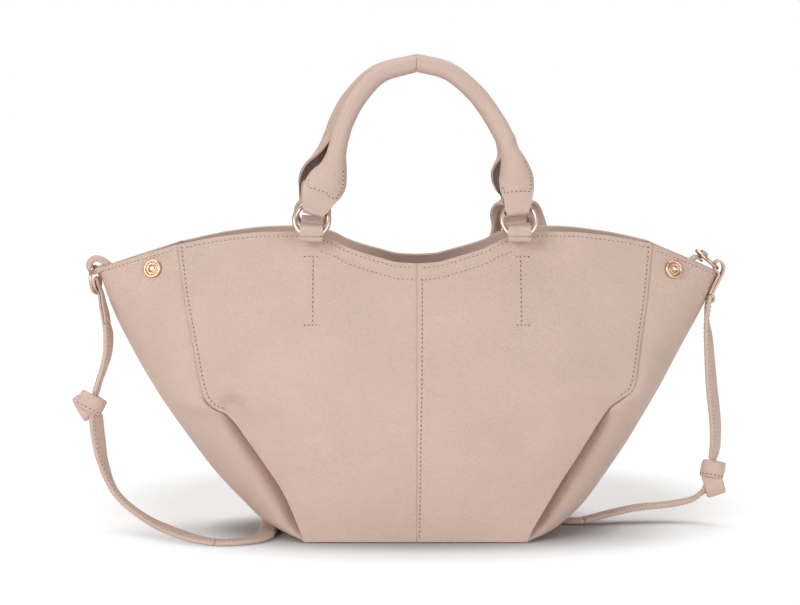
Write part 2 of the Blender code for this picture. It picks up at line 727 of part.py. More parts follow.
def strap_end(name, wire, across, down, length, room_out, room_in, room_up, origin):
    """The end of the strap folded over a ring, its two plies lying together below it. It returns where they end."""
    out = np.cross(down, across)
    if np.dot(out, wire) < 0:
        out = -out
    half = STRAP_PLY / 2
    leg = half + GAP / 2
    far = room_out + half
    near = -room_in - half
    middle = (far + near) / 2
    top = room_up + half
    outline = [(leg, -length), (leg, -9), (far, -3), (far, top - 2.2), (far - 0.8, top - 0.6),
               (middle, top), (near + 0.8, top - 0.6), (near, top - 2.2), (near, -3), (-leg, -9), (-leg, -length)]
    centres = [wire + out * o - down * u for o, u in outline]
    band(name, centres, [across] * len(centres), STRAP_WIDTH, STRAP_PLY, leather(), origin)
    return tuple(wire + down * (length + GAP)), tuple(across)


def right_ring_place(turn):
    """A place on the right ring's wire, the wire's direction there, and the way to the ring's middle."""
    low = np.array([math.cos(RIGHT_RING_TILT), 0, -math.sin(RIGHT_RING_TILT)])
    back = np.array([0, 1.0, 0])
    outward = low * math.cos(turn) + back * math.sin(turn)
    along = -low * math.sin(turn) + back * math.cos(turn)
    return np.array(RIGHT_RING_CENTRE) + outward * WING_RING_RADIUS, along, outward


def right_wing_hardware():
    normal = np.array([math.sin(RIGHT_RING_TILT), 0, math.cos(RIGHT_RING_TILT)])
    hinge, hinge_along, outward = right_ring_place(RIGHT_TAB_ANGLE)
    ring("wing_ring_right", RIGHT_RING_CENTRE, normal, WING_RING_RADIUS, WING_RING_WIRE, 28, 8, tuple(hinge))
    tail = [((179, 0, 158), (0, 1, 0)), ((179, 0, 171), (0, 1, 0)), ((179.5, 1, 180), (-0.2, 0.9, 0)),
            ((182.5, 3, 183.2), (-0.5, 0.7, 0.3)), ((186.5, 5.5, 184), (-0.75, 0.4, 0.5))]
    centres = [np.array(place, float) for place, _ in tail]
    widths = [unit(across) for _, across in tail]
    for degrees in (-115, -90, -60, -30, 0, 30, 60, 90, 120, 150, 180, 200):
        turn = math.radians(degrees)
        centres.append(hinge + WING_TAB_LOOP * (outward * math.cos(turn) + normal * math.sin(turn)))
        widths.append(hinge_along)
    band("wing_tab_right", centres, widths, WING_TAB_WIDTH, WING_TAB_LEATHER, leather())
    plies = np.array(RIGHT_PLIES, float)
    slope = unit(plies[-1] - plies[0])
    apart = np.array([slope[1], -slope[0]]) * (STRAP_PLY + GAP) / 2
    route = [point + apart for point in plies] + list(RIGHT_FOLD) + [point - apart for point in plies[::-1]]
    centres = [np.array([x, 0, z]) for x, z in route]
    band("strap_end_right", centres, [np.array([0, 1.0, 0])] * len(centres), STRAP_WIDTH, STRAP_PLY, leather(), tuple(hinge))
    foot = plies[0] - slope * GAP
    return (foot[0], 0, foot[1]), (0, 1, 0)


def knot(name, place, sizes):
    """The lump of an overhand knot in the flat strap."""
    made = bmesh.new()
    bmesh.ops.create_uvsphere(made, u_segments=16, v_segments=10, radius=1)
    shape = Matrix.Translation([value * MM for value in place]) @ Matrix.Diagonal([size * MM for size in sizes] + [1])
    bmesh.ops.transform(made, matrix=shape, verts=made.verts)
    data = bpy.data.meshes.new(name)
    made.to_mesh(data)
    made.free()
    data.materials.append(leather())
    for polygon in data.polygons:
        polygon.use_smooth = True
    obj = bpy.data.objects.new(name, data)
    BAG.objects.link(obj)
    return obj


def body():
    top_levels = [1 - FACING_DEPTH_SHARE, 1 - FACING_DEPTH_SHARE / 2, 1]
    for face, front in (("front", 1), ("back", -1)):
        outer_panel(f"{face}_panel_left", -1, front)
        outer_panel(f"{face}_panel_right", 1, front)
        inner_panel(f"{face}_facing", front, top_levels, FACING, leather())
        low = LINING_FOOT / RIM[0][1]
        levels = [low] + [level for level in ROWS if low < level < 1 - FACING_DEPTH_SHARE] + [1 - FACING_DEPTH_SHARE - 0.002]
        inner_panel(f"{face}_lining", front, levels, LINING, lining_cloth())
    for name, side in (("left", -1), ("right", 1)):
        outer_wing(f"gusset_{name}", side)
        inner_wing(f"gusset_facing_{name}", side, top_levels, FACING, leather())
        levels = [0.03] + [level for level in ROWS if 0.03 < level < 1 - FACING_DEPTH_SHARE] + [1 - FACING_DEPTH_SHARE - 0.002]
        inner_wing(f"gusset_lining_{name}", side, levels, LINING, lining_cloth())
    base_plate("base_panel", 0, BASE_LEATHER, leather())
    base_plate("base_board", BASE_LEATHER + GAP, BOARD, board(), 1)
    base_plate("base_lining", BASE_LEATHER + BOARD + 2 * GAP, BASE_LINING, lining_cloth(), 1)


def handles():
    for face, front in (("front", 1), ("back", -1)):
        for side in ("left", "right"):
            handle_tab(f"{face}_handle_tab_{side}", side, front)
            handle_ring(f"{face}_handle_ring_{side}", side, front)
            handle_half(f"{face}_handle_{side}", side, front)
        handle_core(f"{face}_handle_core", front)


def strap(left_foot, right_foot):
    strap_piece("strap_left_drop", [left_foot] + LEFT_DROP)
    strap_piece("strap_middle", MIDDLE)
    strap_piece("strap_right_drop", [right_foot] + RIGHT_DROP)
    knot("strap_knot_left", *LEFT_KNOT)
    knot("strap_knot_right", *RIGHT_KNOT)


body()
handles()
press_studs()
strap(left_wing_hardware(), right_wing_hardware())
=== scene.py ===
"""Looks of the mini tote bag: smooth leather, stitching, hardware, lining and a knotted flat strap.

Sizes below are millimetres and are turned to metres when a mesh is made.
X runs to the right, Y to the back and Z up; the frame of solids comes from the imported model.
"""

import math

import bpy
import numpy as np
from mathutils import Matrix, Vector

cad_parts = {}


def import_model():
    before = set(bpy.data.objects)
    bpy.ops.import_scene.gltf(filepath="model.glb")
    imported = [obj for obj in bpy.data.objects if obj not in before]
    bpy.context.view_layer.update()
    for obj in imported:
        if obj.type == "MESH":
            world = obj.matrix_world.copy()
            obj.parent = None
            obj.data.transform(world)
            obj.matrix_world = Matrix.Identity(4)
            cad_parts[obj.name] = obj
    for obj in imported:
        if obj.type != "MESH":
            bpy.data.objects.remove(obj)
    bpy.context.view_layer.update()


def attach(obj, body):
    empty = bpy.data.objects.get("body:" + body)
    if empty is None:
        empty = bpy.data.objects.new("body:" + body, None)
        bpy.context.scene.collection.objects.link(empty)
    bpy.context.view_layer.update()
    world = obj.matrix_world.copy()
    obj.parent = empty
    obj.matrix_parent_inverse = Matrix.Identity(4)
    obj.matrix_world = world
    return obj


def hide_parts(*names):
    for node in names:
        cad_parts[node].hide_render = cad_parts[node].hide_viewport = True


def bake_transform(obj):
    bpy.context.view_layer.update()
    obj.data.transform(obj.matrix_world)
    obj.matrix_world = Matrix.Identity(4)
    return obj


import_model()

MM = 0.001
GAP = 0.3

# Camera
CAMERA_AIM = (-11, 0, 152)
CAMERA_DISTANCE = 1800
CAMERA_ELEVATION = math.radians(5)
CAMERA_LENS = 121.4

# Studio, in metres and watts: each light's name, place, size and power
LIGHTS = [
    ("key_light", (-1.5, -2.0, 0.95), (1.3, 0.9), 29.6),
    ("fill_light", (1.5, -2.0, 0.6), (1.2, 0.9), 15.6),
    ("top_light", (-0.1, 0.6, 2.0), (1.7, 1.0), 24),
]
LIGHT_AIM = (0, 0, 0.12)
WORLD_TONE = (1, 0.985, 0.97, 1)
WORLD_LIGHT = 0.37
FLOOR_SIZE = 12
FLOOR_DROP = 0.0002
FLOOR_WHITE = 0.9
# The camera sees the floor's shade in an oval that fades to plain white: centre, half sizes, start and end
FLOOR_CENTRE = 0.1
FLOOR_REACH = (0.26, 0.26)
FLOOR_FADE = (0.64, 1.0)
FLOOR_SEEN = 0.86
PLAIN_WHITE = 1.05
# Painted contact shade: beside what stands on it the camera sees the floor darker: reach in millimetres, open
# share from and to, and tone
CONTACT_REACH = 34.0
CONTACT_SHARE = (0.4, 0.97)
PAINTED_CONTACT_SHADE = 0.48

# Wall layers
LEATHER = 1.6
FACING = 1.2
LINING = 1.0
LINING_INSET = 4.6
WING_INSET = 3.6
RIM_INSET = 1.75
FACING_BLEND = 16.0
FACING_DEPTH = 25.0
LINING_FOOT = 5.2
WING_LINING_FOOT = 0.035
SEAM_LAP = 4.0
LAP_START = SEAM_LAP + 3
SKIVE_REACH = (1, 9)
INSIDE_POINT = np.array([0, 0, 100.0])
LINING_LAP = 7.0
FACING_REACH = 0.985
LINING_REACH = 0.97

# Front and back panel: height and half size
PANEL_EDGES = {
    -1: [(0, 73), (13, 78.5), (33, 88), (48, 98), (66, 110.5), (82.9, 124.2), (86.5, 131.4), (90.6, 136.1),
         (96.1, 139), (106.1, 141.9), (117.9, 144.4), (137.1, 148.4), (157.7, 152.6), (190, 157.2),
         (194, 157.8)],
    1: [(0, 71.5), (8.3, 75.6), (21.1, 83.4), (40.3, 95.2), (53.3, 103.6), (68.4, 112.8), (81.5, 121.1),
        (88.8, 126.7), (91.8, 131), (95.2, 136.1), (97.5, 139.2), (102.4, 142), (112.4, 144.1), (137.1, 148),
        (157.7, 151.3), (190, 155), (194, 155.5)],
}
MIDDLE_DEPTH = [(0, 58), (30, 63), (60, 67), (90, 69), (120, 66), (155, 57), (182, 46), (202, 41)]
EDGE_DEPTH = [(0, 58), (48, 50), (85, 50), (138, 36), (194, 22)]
RIM = [(0, 181.7), (12, 182.3), (23.4, 185.1), (45.5, 191.9), (56.5, 197.4), (68.2, 200.6), (82, 201.6),
       (97.5, 201.4), (125, 198.6), (153.3, 193.2), (158, 192.2)]
PANEL_ROUNDNESS = 2.2
SKIVED_EDGE = 0.9
SEAM_STEP = 1.1
SEAM_STITCH = 2.6
RIM_STITCH = 3.0
FACING_STITCH = 10.5
HOOK_FOOT = {-1: 83.6, 1: 92.5}
SEAM_TOP = 190.0
CENTRE_STITCH = 3.4
# Swells and dents of each panel: size outwards, reach, its spread, height, its spread and climb with reach
SWELLS = {
    -1: [(0.8, 96, 26, 172, 22, 0), (-7.2, 121, 7.5, 89, 6.5, 0), (2.4, 124, 15, 107, 9, 0)],
    1: [(0.8, 96, 26, 172, 22, 0), (-1.2, 126, 8, 90, 6, 0), (2.2, 108, 24, 103, 10, 0.2)],
}

# Wings
LEFT_NOSE = [(0, 73), (3, 89), (9, 103.7), (19, 115), (39, 134.4), (60, 150.4), (90, 171), (120, 189),
             (150, 203.5), (175, 212)]
RIGHT_NOSE = [(0, 73), (3, 90), (9, 101), (19, 112), (39, 127), (60, 141), (90, 158.3), (120, 174.8),
              (150, 191), (172.5, 201.5)]
VALLEY_DEPTH = 7.0
VALLEY_TOP = 86.0
VALLEY_SHIFT = 0.6
CREASE_DEPTH = 12.0
CREASE_WIDTH = 5.8
SLOT_DEPTH = 2.4
SLOT_WIDTH = 1.0
VALLEY_SHIFT_RISE = 6.0
VALLEY_POWER = 0.8
# Heights where the crease and the slot start to open, are open, start to close and are closed
CREASE_WINDOW = (1, 16, 72, 88)
SLOT_WINDOW = (70, 82, 90, 98)
# How much more the inner layers of a wing are drawn in at the base, and up to about what height
BASE_TUCK = (0.5, 30)
ROUND_WING = 2.0
SHARP_WING = 1.15
WING_RIM = 185.0

# Base
BASE_HALF_WIDTH = 72.0
BASE_HALF_DEPTH = 54.0
BASE_LEATHER = 1.6
# Each layer, from the outside in: name, finish, solid, how far it is set in, bottom, top and rounded edge
BASE_LAYERS = [
    ("base_leather", "leather", "base_panel", 0, 0, BASE_LEATHER, 0.5),
    ("stiff_base", "board", "base_board", 1, 1.9, 3.4, 0.3),
    ("base_cloth", "lining", "base_lining", 1, 3.7, 4.7, 0.3),
]

# Handle rings, tabs and handles
RING_X = {"front": {"left": -68.3, "right": 66.4}, "back": {"left": -70.6, "right": 67.8}}
RING_RADIUS = 11.0
RING_WIRE = 1.8
RING_HINGE_Y = 49.1
RING_HINGE_Z = 199.5
LEAN = math.radians(20)
TAB_WIDTH = 15.0
TAB_LEATHER = 1.6
TAB_TAIL_FOOT = 0.71
TAB_TAIL_TOP = 0.985
TAB_TAIL_EASE = 0.5
TAB_FRONT_ROOM = 5.3
TAB_BACK_ROOM = 2.7
TAB_TOP = 206.2
TAB_ROW_HEIGHT = 199.3
TAB_ROW = 6.0
TAB_PITCH = 2.6
TAB_MIDDLES = (-69.5, 67.1)
TAB_CLEARANCE = (7.5, 15)
# Each leg, from the ring up: rise, x, width, distance out from the leaning plane, and curl in degrees
FRONT_LEFT_LEG = [
    (-5, -66.2, 17.5, 4.9, 8), (2.4, -63.9, 22.5, 4.9, 25), (9.2, -61.3, 26, 4.1, 70),
    (13.3, -59.6, 26.6, 3.9, 95), (18.1, -57.6, 25, 4.2, 135), (22.9, -55.4, 20.2, 4.7, 175),
    (27.7, -53.9, 16.3, 5.1, 230), (36.5, -52.1, 12.4, 5.7, 325), (44, -50.5, 12, 6, 350),
]
FRONT_RIGHT_LEG = [
    (-5, 65.1, 16.4, 4.9, 8), (2.4, 65.5, 18.8, 4.9, 25), (9.2, 65.2, 22.1, 4.2, 60),
    (16, 64.9, 22.8, 4.2, 100), (20, 64.8, 21.8, 4.5, 140), (24.2, 64.2, 19.9, 4.8, 175),
    (29.7, 62.8, 16.3, 5.3, 240), (36.5, 60.5, 12.4, 5.7, 325), (43.4, 58.8, 12, 6, 350),
]
BACK_LEFT_LEG = [
    (-5, -71.4, 16.4, 4.9, 8), (2.4, -70.6, 19, 4.9, 25), (9.2, -68.6, 24, 4.1, 75),
    (16, -66.4, 26, 3.9, 115), (22, -64.4, 24, 4.4, 160), (28, -62.4, 18, 5.1, 220),
    (37, -59.2, 13, 5.7, 300), (45, -56.4, 12, 6, 345),
]
BACK_RIGHT_LEG = [
    (-5, 67, 16.4, 4.9, 8), (2.4, 66.2, 19, 4.9, 25), (9.2, 64.4, 23, 4.2, 70),
    (16, 63, 25, 4.2, 110), (20, 62.6, 24.6, 4.5, 145), (24.2, 62.6, 22, 4.8, 180),
    (29.7, 62.2, 16.8, 5.3, 240), (36.5, 60.5, 12.4, 5.7, 325), (43.4, 58.8, 12, 6, 350),
]
HANDLE_LEGS = {
    "front": {"left": FRONT_LEFT_LEG, "right": FRONT_RIGHT_LEG},
    "back": {"left": BACK_LEFT_LEG, "right": BACK_RIGHT_LEG},
}
RIGHT_TOP = [(58.8, 43.4), (50.5, 59), (38.5, 76), (21, 91), (0, 97)]
HANDLE_TOP = {
    "front": {"left": [(-50.5, 44), (-47, 56), (-39, 72), (-24, 89), (0, 97)], "right": RIGHT_TOP},
    "back": {"left": [(-56.4, 45), (-52, 57), (-43, 73), (-26, 89.5), (0, 97)], "right": RIGHT_TOP},
}
FOLD_ROUTE = [(-0.2, 12), (-0.9, 8), (-2.4, 4), (-3.4, 0), (-3.4, -4), (-2.6, -6.6), (-0.4, -8.2),
              (1.9, -8.4), (4, -7.4), (4.9, -5)]
FOLD_WIDTH = 14.6
TUBE_CURL = 354
SHEET_POINTS = 50
# The faces of a sheet's inner arc take the flesh side: the leather's own back, made darker as painted shade
# for the hollows of the curled leaves
PAINTED_SHADE_FLESH_SIDE = range(SHEET_POINTS // 2, SHEET_POINTS - 1)
HANDLE_LEATHER = 1.9
JOINT_X = {"left": -0.1, "right": 0.1}
LEAF_STITCH = 2.2
LEAF_PITCH = 2.8
LEAF_SCALE = np.array([1.0, 10.0])
LEAF_ROWS = {
    "left": [(14, -1), (7.8, -1), (6.2, 1), (24, 1)],
    "right": [(13, -1), (6.4, -1), (7.1, 1), (26, 1)],
}
FOLD_SLOPE = {"front": {"left": 0.31, "right": -0.13}, "back": {"left": 0.12, "right": -0.1}}
TUBE = 12.0
LOOP_DROP = 7.6
CORE_RADIUS = 3.7
CORE_CURL = 345
CORE_PITCH = 3.0

# Press studs
STUD_X = {"left": 173.8, "right": 168.9}
STUD_LEVEL = 0.94

# Wing rings and the tabs that hold them
WING_RING_RADIUS = 8.8
WING_RING_WIRE = 1.2
LEFT_RING_TOP = (-214.6, 0, 176)
LEFT_RING_LEAN = math.radians(4)
RIGHT_RING_CENTRE = (193.5, 0, 180.8)
RIGHT_RING_TILT = math.radians(40)
RIGHT_TAB_ANGLE = math.radians(110)
WING_TAB_LEATHER = 1.2
RIGHT_TAB_WIDTH = 4.6
LEFT_TAB_LEATHER = 4.2
LEFT_RING_TURN = -0.28
RIGHT_TAB_LOOP = 3.0
# The left tab's route round its ring: x, z and width. The right tab's foot: a place and the way across it
LEFT_TAB_ROUTE = [
    (-198.5, 158, 7), (-200.2, 168.5, 6), (-202.4, 173.6, 4.8), (-205.2, 177.4, 5.5), (-209, 180.2, 7),
    (-213.3, 181.5, 8), (-216.8, 180, 8), (-217.9, 177, 8), (-217, 174.2, 8), (-214.6, 172.8, 8),
    (-211.8, 173.9, 8), (-209, 175.4, 7), (-206.4, 174, 6),
]
RIGHT_TAB_FOOT = [
    ((179, 0, 155), (0, 1, 0)),
    ((179.5, 0, 168), (0, 1, 0)),
    ((180.5, 1, 176), (-0.2, 0.9, 0)),
    ((183, 3, 179.8), (-0.5, 0.7, 0.3)),
    ((186.5, 5.5, 182.2), (-0.75, 0.4, 0.5)),
]
RIGHT_TAB_TURNS = (-115, -90, -60, -30, 0, 30, 60, 90, 120, 150, 180, 200)

# Strap
STRAP_WIDTH = 12.0
STRAP_THICKNESS = 2.9
STRAP_PLY = 1.45
STRIP_CORNER = 0.42
LEFT_PLIES = [(-207, 138.2), (-207.8, 144), (-209.4, 151), (-211.1, 158)]
LEFT_FOLD = [(-212, 162.5), (-212.9, 166), (-213.4, 167.6), (-214.2, 168.4), (-215, 167.4), (-214.9, 164.5),
             (-213.9, 160.6)]
LEFT_FOLD_WIDTH = 11.0
LEFT_FOLD_BACK = 4.0
RIGHT_LOBE = [(197.6, 152.6), (198.1, 156)]
RIGHT_PLIES = [(195.9, 157.5), (198.9, 164), (201.9, 170)]
RIGHT_FOLD = [(204, 172.6), (204.5, 176), (203.1, 179), (200.9, 180), (199.2, 179), (198.3, 176.4),
              (199, 173.8), (200.5, 172.4), (201.4, 170.9)]

# Stitching
STITCH_PITCH = 3.0
STITCH_LENGTH = 2.2
STITCH_RADIUS = 0.34
HOLE_LENGTH = 1.15
HOLE_WIDTH = 0.85
MARK_X = 67.5
MARK_HEIGHTS = (141.9, 185.5)
MARK_BAR = 5.0
MARK_PITCH = 2.4

# Strap routes: a place and the direction across the strap
STRAP_LEFT = [
    ((-207, 0, 138.2), (0.15, 0.99, 0)),
    ((-205.8, 0, 130), (0.3, 0.95, 0)),
    ((-206.4, 0, 118), (0.25, 0.97, 0)),
    ((-209.4, 0, 107), (0.15, 0.98, 0)),
    ((-212.8, 0, 97), (0.1, 0.99, 0)),
    ((-215.4, 0, 86), (0.3, 0.95, 0)),
    ((-214.6, 0, 75), (0.6, 0.8, 0)),
    ((-213.2, -0.8, 62), (0.62, 0.78, 0)),
    ((-209.4, -3, 43), (0.35, 0.93, 0)),
    ((-200, -8, 24), (0.05, 1, 0)),
    ((-179, -27, 11), (0.05, 1, 0)),
    ((-152, -55, 4.5), (0.4, 0.9, 0.05)),
    ((-130, -66, 1.95), (0.1, 0.99, 0)),
]
STRAP_MIDDLE = [
    ((-130, -66, 1.95), (0.1, 0.99, 0)),
    ((-112, -61, 1.95), (-0.5, 0.86, 0)),
    ((-101, -45, 1.95), (-0.9, 0.4, 0)),
    ((-98.5, -15, 1.95), (-1, 0, 0)),
    ((-98.5, 20, 1.95), (-1, 0, 0)),
    ((-98.5, 50, 1.95), (-1, 0, 0)),
    ((-98, 68, 4.7), (-1, 0, 0)),
    ((-94, 76, 17), (-0.95, 0, 0.3)),
    ((-80, 76.5, 40), (-0.8, 0, 0.6)),
    ((-40, 76, 92), (-0.79, 0, 0.61)),
    ((0, 69.5, 136), (-0.74, 0, 0.67)),
    ((32, 60.5, 165), (-0.74, 0, 0.67)),
    ((51, 55, 184), (-0.8, -0.5, 0.2)),
    ((54.6, 52.5, 196), (-0.5, -0.85, 0)),
    ((55, 50, 205), (-0.45, -0.88, 0)),
    ((55.6, 43, 213), (-0.7, -0.5, -0.3)),
    ((60, 34, 219.5), (-0.6, 0.3, -0.65)),
    ((67, 31, 221.5), (0, 0.5, -0.86)),
    ((73.5, 34.5, 219.5), (0.6, 0.4, -0.65)),
    ((78.3, 41, 213.5), (0.9, 0.1, -0.3)),
    ((81.8, 46.5, 205), (1, 0, 0)),
    ((84.8, 51.5, 195), (1, 0, 0)),
    ((87, 56.5, 184), (1, 0, 0)),
    ((88.5, 67, 145), (1, 0, 0)),
    ((91.5, 74, 100), (1, 0, 0)),
    ((96, 76, 50), (1, 0, 0)),
    ((98.5, 75, 16), (1, 0, 0)),
    ((98.5, 68, 4.7), (1, 0, 0)),
    ((98.5, 50, 1.95), (1, 0, 0)),
    ((98.5, 33, 1.95), (1, 0, 0)),
    ((101.5, 19, 1.95), (0.7, 0.7, 0)),
    ((113, 14.5, 3), (0, 1, 0)),
]
STRAP_RIGHT = [
    ((195.9, 0, 157.2), (0, 1, 0)),
    ((194.1, 0, 149), (0, 1, 0)),
    ((193.8, 0, 140), (0.15, 0.98, 0)),
    ((194.8, 0, 130), (0.4, 0.92, 0)),
    ((195.8, 0, 117), (0.5, 0.86, 0)),
    ((197.4, 0.5, 97), (0.6, 0.8, 0)),
    ((200.4, 3, 72), (0.6, 0.8, 0)),
    ((201.2, 8, 56), (0.54, 0.84, 0)),
    ((200.9, 12.6, 47.5), (0.5, 0.86, 0)),
    ((199.2, 14.5, 37), (0.5, 0.86, 0)),
    ((197.6, 17.5, 25.6), (0.5, 0.86, 0)),
    ((195, 20, 21.5), (0.4, 0.9, 0)),
    ((187, 24, 15.5), (0.2, 0.98, 0)),
    ((172, 26, 12), (0, 1, 0)),
    ((150, 24, 10), (-0.2, 0.98, 0)),
    ((130, 19, 6.5), (-0.2, 0.98, 0)),
    ((113, 14.5, 3), (0, 1, 0)),
]
# Each turn of a knot: centre, long axis, width direction, half sizes, width, start and end in degrees, drift
KNOTS = {
    "left": [
        ((-217.8, 0, 84.6), (0.86, 0, -0.5), (0.5, 0.16, 0.86), (7.8, 5.2), 11.4, (-88, 268), -0.8),
        ((-222, 0.8, 82), (0.5, 0, -0.86), (0.86, 0, 0.5), (7.4, 2.8), 10.5, (-88, 268), 0.4),
    ],
    "right": [
        ((200.5, 14.5, 37.6), (0.98, 0, -0.22), (0.22, 0.16, 0.98), (6.5, 5.2), 11.6, (-88, 268), -0.8),
        ((200.9, 14.6, 28.4), (0.3, 0, -0.95), (0.95, 0, 0.3), (7.4, 3.3), 13.2, (-88, 268), 0.4),
    ],
}
KNOT_PINCH = 6.5
KNOT_ROW_FROM = 0.25
KNOT_REACH = (6.4, 9.6)
STRAP_STEPS = 8
STRAP_STITCH = 1.9
# Two places on each hanging end, a low one and a high one below its ring
LEFT_FOLLOWS = ((-209.4, 0, 95.6), (-207, 0, 138))
RIGHT_FOLLOWS = ((199.5, 6, 60), (195.9, 0, 157))


def unit(vector):
    vector = np.array(vector, float)
    return vector / np.linalg.norm(vector)


def smooth_reader(knots):
    """A smooth curve through pairs of place and value that never overshoots between them."""
    places = np.array([knot[0] for knot in knots], float)
    values = np.array([knot[1] for knot in knots], float)
    steps = np.diff(places)
    slopes = np.diff(values) / steps
    tangents = np.empty(len(places))
    tangents[0] = slopes[0]
    tangents[-1] = slopes[-1]
    for index in range(1, len(places) - 1):
        left, right = slopes[index - 1], slopes[index]
        if left * right <= 0:
            tangents[index] = 0
        else:
            near, far = 2 * steps[index] + steps[index - 1], steps[index] + 2 * steps[index - 1]
            tangents[index] = (near + far) / (near / left + far / right)

    def read(at):
        at = min(max(at, places[0]), places[-1])
        index = min(int(np.searchsorted(places, at, side="right")) - 1, len(steps) - 1)
        step = steps[index]
        t = (at - places[index]) / step
        start = values[index] * (1 + 2 * t) * (1 - t) ** 2 + tangents[index] * step * t * (1 - t) ** 2
        end = values[index + 1] * t * t * (3 - 2 * t) + tangents[index + 1] * step * t * t * (t - 1)
        return float(start + end)

    return read


PANEL_READERS = {side: smooth_reader(knots) for side, knots in PANEL_EDGES.items()}
middle_depth = smooth_reader(MIDDLE_DEPTH)
edge_depth = smooth_reader(EDGE_DEPTH)
rim_height = smooth_reader(RIM)
NOSE = {-1: smooth_reader(LEFT_NOSE), 1: smooth_reader(RIGHT_NOSE)}
EDGE_TOP = {side: knots[-1][1] for side, knots in PANEL_EDGES.items()}
NOSE_TIP = {-1: LEFT_NOSE[-1][0], 1: RIGHT_NOSE[-1][0]}


def panel_edge(height, side):
    return PANEL_READERS[side](height)


def mix(start, end, share):
    return start + (end - start) * share


def ease(low, high, value):
    """0 below low, 1 above high, and a smooth rise between."""
    share = min(max((value - low) / (high - low), 0), 1)
    return share * share * (3 - 2 * share)


def bump(value, centre, width):
    return math.exp(-((value - centre) / width) ** 2)


def circle(count):
    return np.linspace(0, 2 * math.pi, count + 1)[:-1]


def levels_between(low, high, count, crowd=1.0):
    return [low + (high - low) * (index / (count - 1)) ** crowd for index in range(count)]


BODY_LEVELS = levels_between(0.002, 1, 84, 1.15)
PANEL_SHARES = levels_between(0, 1, 52, 0.92)
QUARTER_ANGLES = [0, 0.8, 2, 4, 6.5, 9, 12, 15, 18.5, 22, 29, 36, 43, 50, 57, 64, 70, 75, 80, 84, 87]
WING_ANGLES = QUARTER_ANGLES + [90] + [180 - angle for angle in reversed(QUARTER_ANGLES)]


# Materials


def node_material(name):
    made = bpy.data.materials.new(name)
    made.use_nodes = True
    tree = made.node_tree
    shader = tree.nodes["Principled BSDF"]
    place = tree.nodes.new("ShaderNodeTexCoord").outputs["Object"]
    return made, tree, shader, place


def noise(tree, place, scale, detail=3.0, roughness=0.5):
    made = tree.nodes.new("ShaderNodeTexNoise")
    made.inputs["Scale"].default_value = scale
    made.inputs["Detail"].default_value = detail
    made.inputs["Roughness"].default_value = roughness
    tree.links.new(place, made.inputs["Vector"])
    return made.outputs["Fac"]


def ramp(tree, value, low, high, first, last):
    made = tree.nodes.new("ShaderNodeMapRange")
    made.inputs["From Min"].default_value = low
    made.inputs["From Max"].default_value = high
    made.inputs["To Min"].default_value = first
    made.inputs["To Max"].default_value = last
    tree.links.new(value, made.inputs["Value"])
    return made.outputs["Result"]


def colour_mix(tree, share, first, second):
    made = tree.nodes.new("ShaderNodeMix")
    made.data_type = "RGBA"
    made.inputs["A"].default_value = (*first, 1)
    made.inputs["B"].default_value = (*second, 1)
    tree.links.new(share, made.inputs["Factor"])
    return made.outputs["Result"]


def add_bump(tree, shader, heights):
    """Bumps in metres, one after another: pairs of a height output and its distance."""
    normal = None
    for height, distance in heights:
        made = tree.nodes.new("ShaderNodeBump")
        made.inputs["Distance"].default_value = distance
        tree.links.new(height, made.inputs["Height"])
        if normal is not None:
            tree.links.new(normal, made.inputs["Normal"])
        normal = made.outputs["Normal"]
    tree.links.new(normal, shader.inputs["Normal"])


def leather_material(name, tone, rough=0.5, grain=1.0):
    """Fine-grained leather: small pebbles, soft mottling and a slight wear of the gloss."""
    made, tree, shader, place = node_material(name)
    cells = tree.nodes.new("ShaderNodeTexVoronoi")
    cells.feature = "DISTANCE_TO_EDGE"
    cells.inputs["Scale"].default_value = 950
    tree.links.new(place, cells.inputs["Vector"])
    creases = ramp(tree, cells.outputs["Distance"], 0, 0.22, 0, 1)
    mottle = noise(tree, place, 22, 4)
    fine = noise(tree, place, 2600, 2)
    light = tuple(min(value * 1.03, 1) for value in tone)
    dark = tuple(value * 0.95 for value in tone)
    patches = ramp(tree, mottle, 0.3, 0.7, 0, 1)
    tree.links.new(colour_mix(tree, patches, dark, light), shader.inputs["Base Color"])
    gloss = ramp(tree, noise(tree, place, 60, 3), 0.3, 0.7, rough - 0.05, rough + 0.07)
    tree.links.new(gloss, shader.inputs["Roughness"])
    shader.inputs["Specular IOR Level"].default_value = 0.42
    add_bump(tree, shader, [(creases, 0.00018 * grain), (fine, 0.00004 * grain), (mottle, 0.0004)])
    return made


def thread_material(name, tone):
    made, tree, shader, place = node_material(name)
    twist = tree.nodes.new("ShaderNodeTexWave")
    twist.inputs["Scale"].default_value = 900
    twist.inputs["Distortion"].default_value = 2
    tree.links.new(place, twist.inputs["Vector"])
    dark = tuple(value * 0.8 for value in tone)
    tree.links.new(colour_mix(tree, twist.outputs["Fac"], dark, tone), shader.inputs["Base Color"])
    shader.inputs["Roughness"].default_value = 0.7
    add_bump(tree, shader, [(twist.outputs["Fac"], 0.00008)])
    return made


# Needle holes: a near-black colour painted as the shade inside each hole
def hole_shade_material(name, tone):
    made, tree, shader, place = node_material(name)
    dark = tuple(value * 0.7 for value in tone)
    tree.links.new(colour_mix(tree, noise(tree, place, 900, 2), dark, tone), shader.inputs["Base Color"])
    shader.inputs["Roughness"].default_value = 0.9
    return made


def metal_material(name, tone, rough):
    made, tree, shader, place = node_material(name)
    wear = ramp(tree, noise(tree, place, 180, 4), 0.35, 0.65, 0, 1)
    dark = tuple(value * 0.93 for value in tone)
    tree.links.new(colour_mix(tree, wear, dark, tone), shader.inputs["Base Color"])
    gloss = ramp(tree, noise(tree, place, 700, 3), 0.3, 0.7, rough, rough + 0.12)
    tree.links.new(gloss, shader.inputs["Roughness"])
    shader.inputs["Metallic"].default_value = 1
    add_bump(tree, shader, [(noise(tree, place, 400, 2), 0.000004)])
    return made


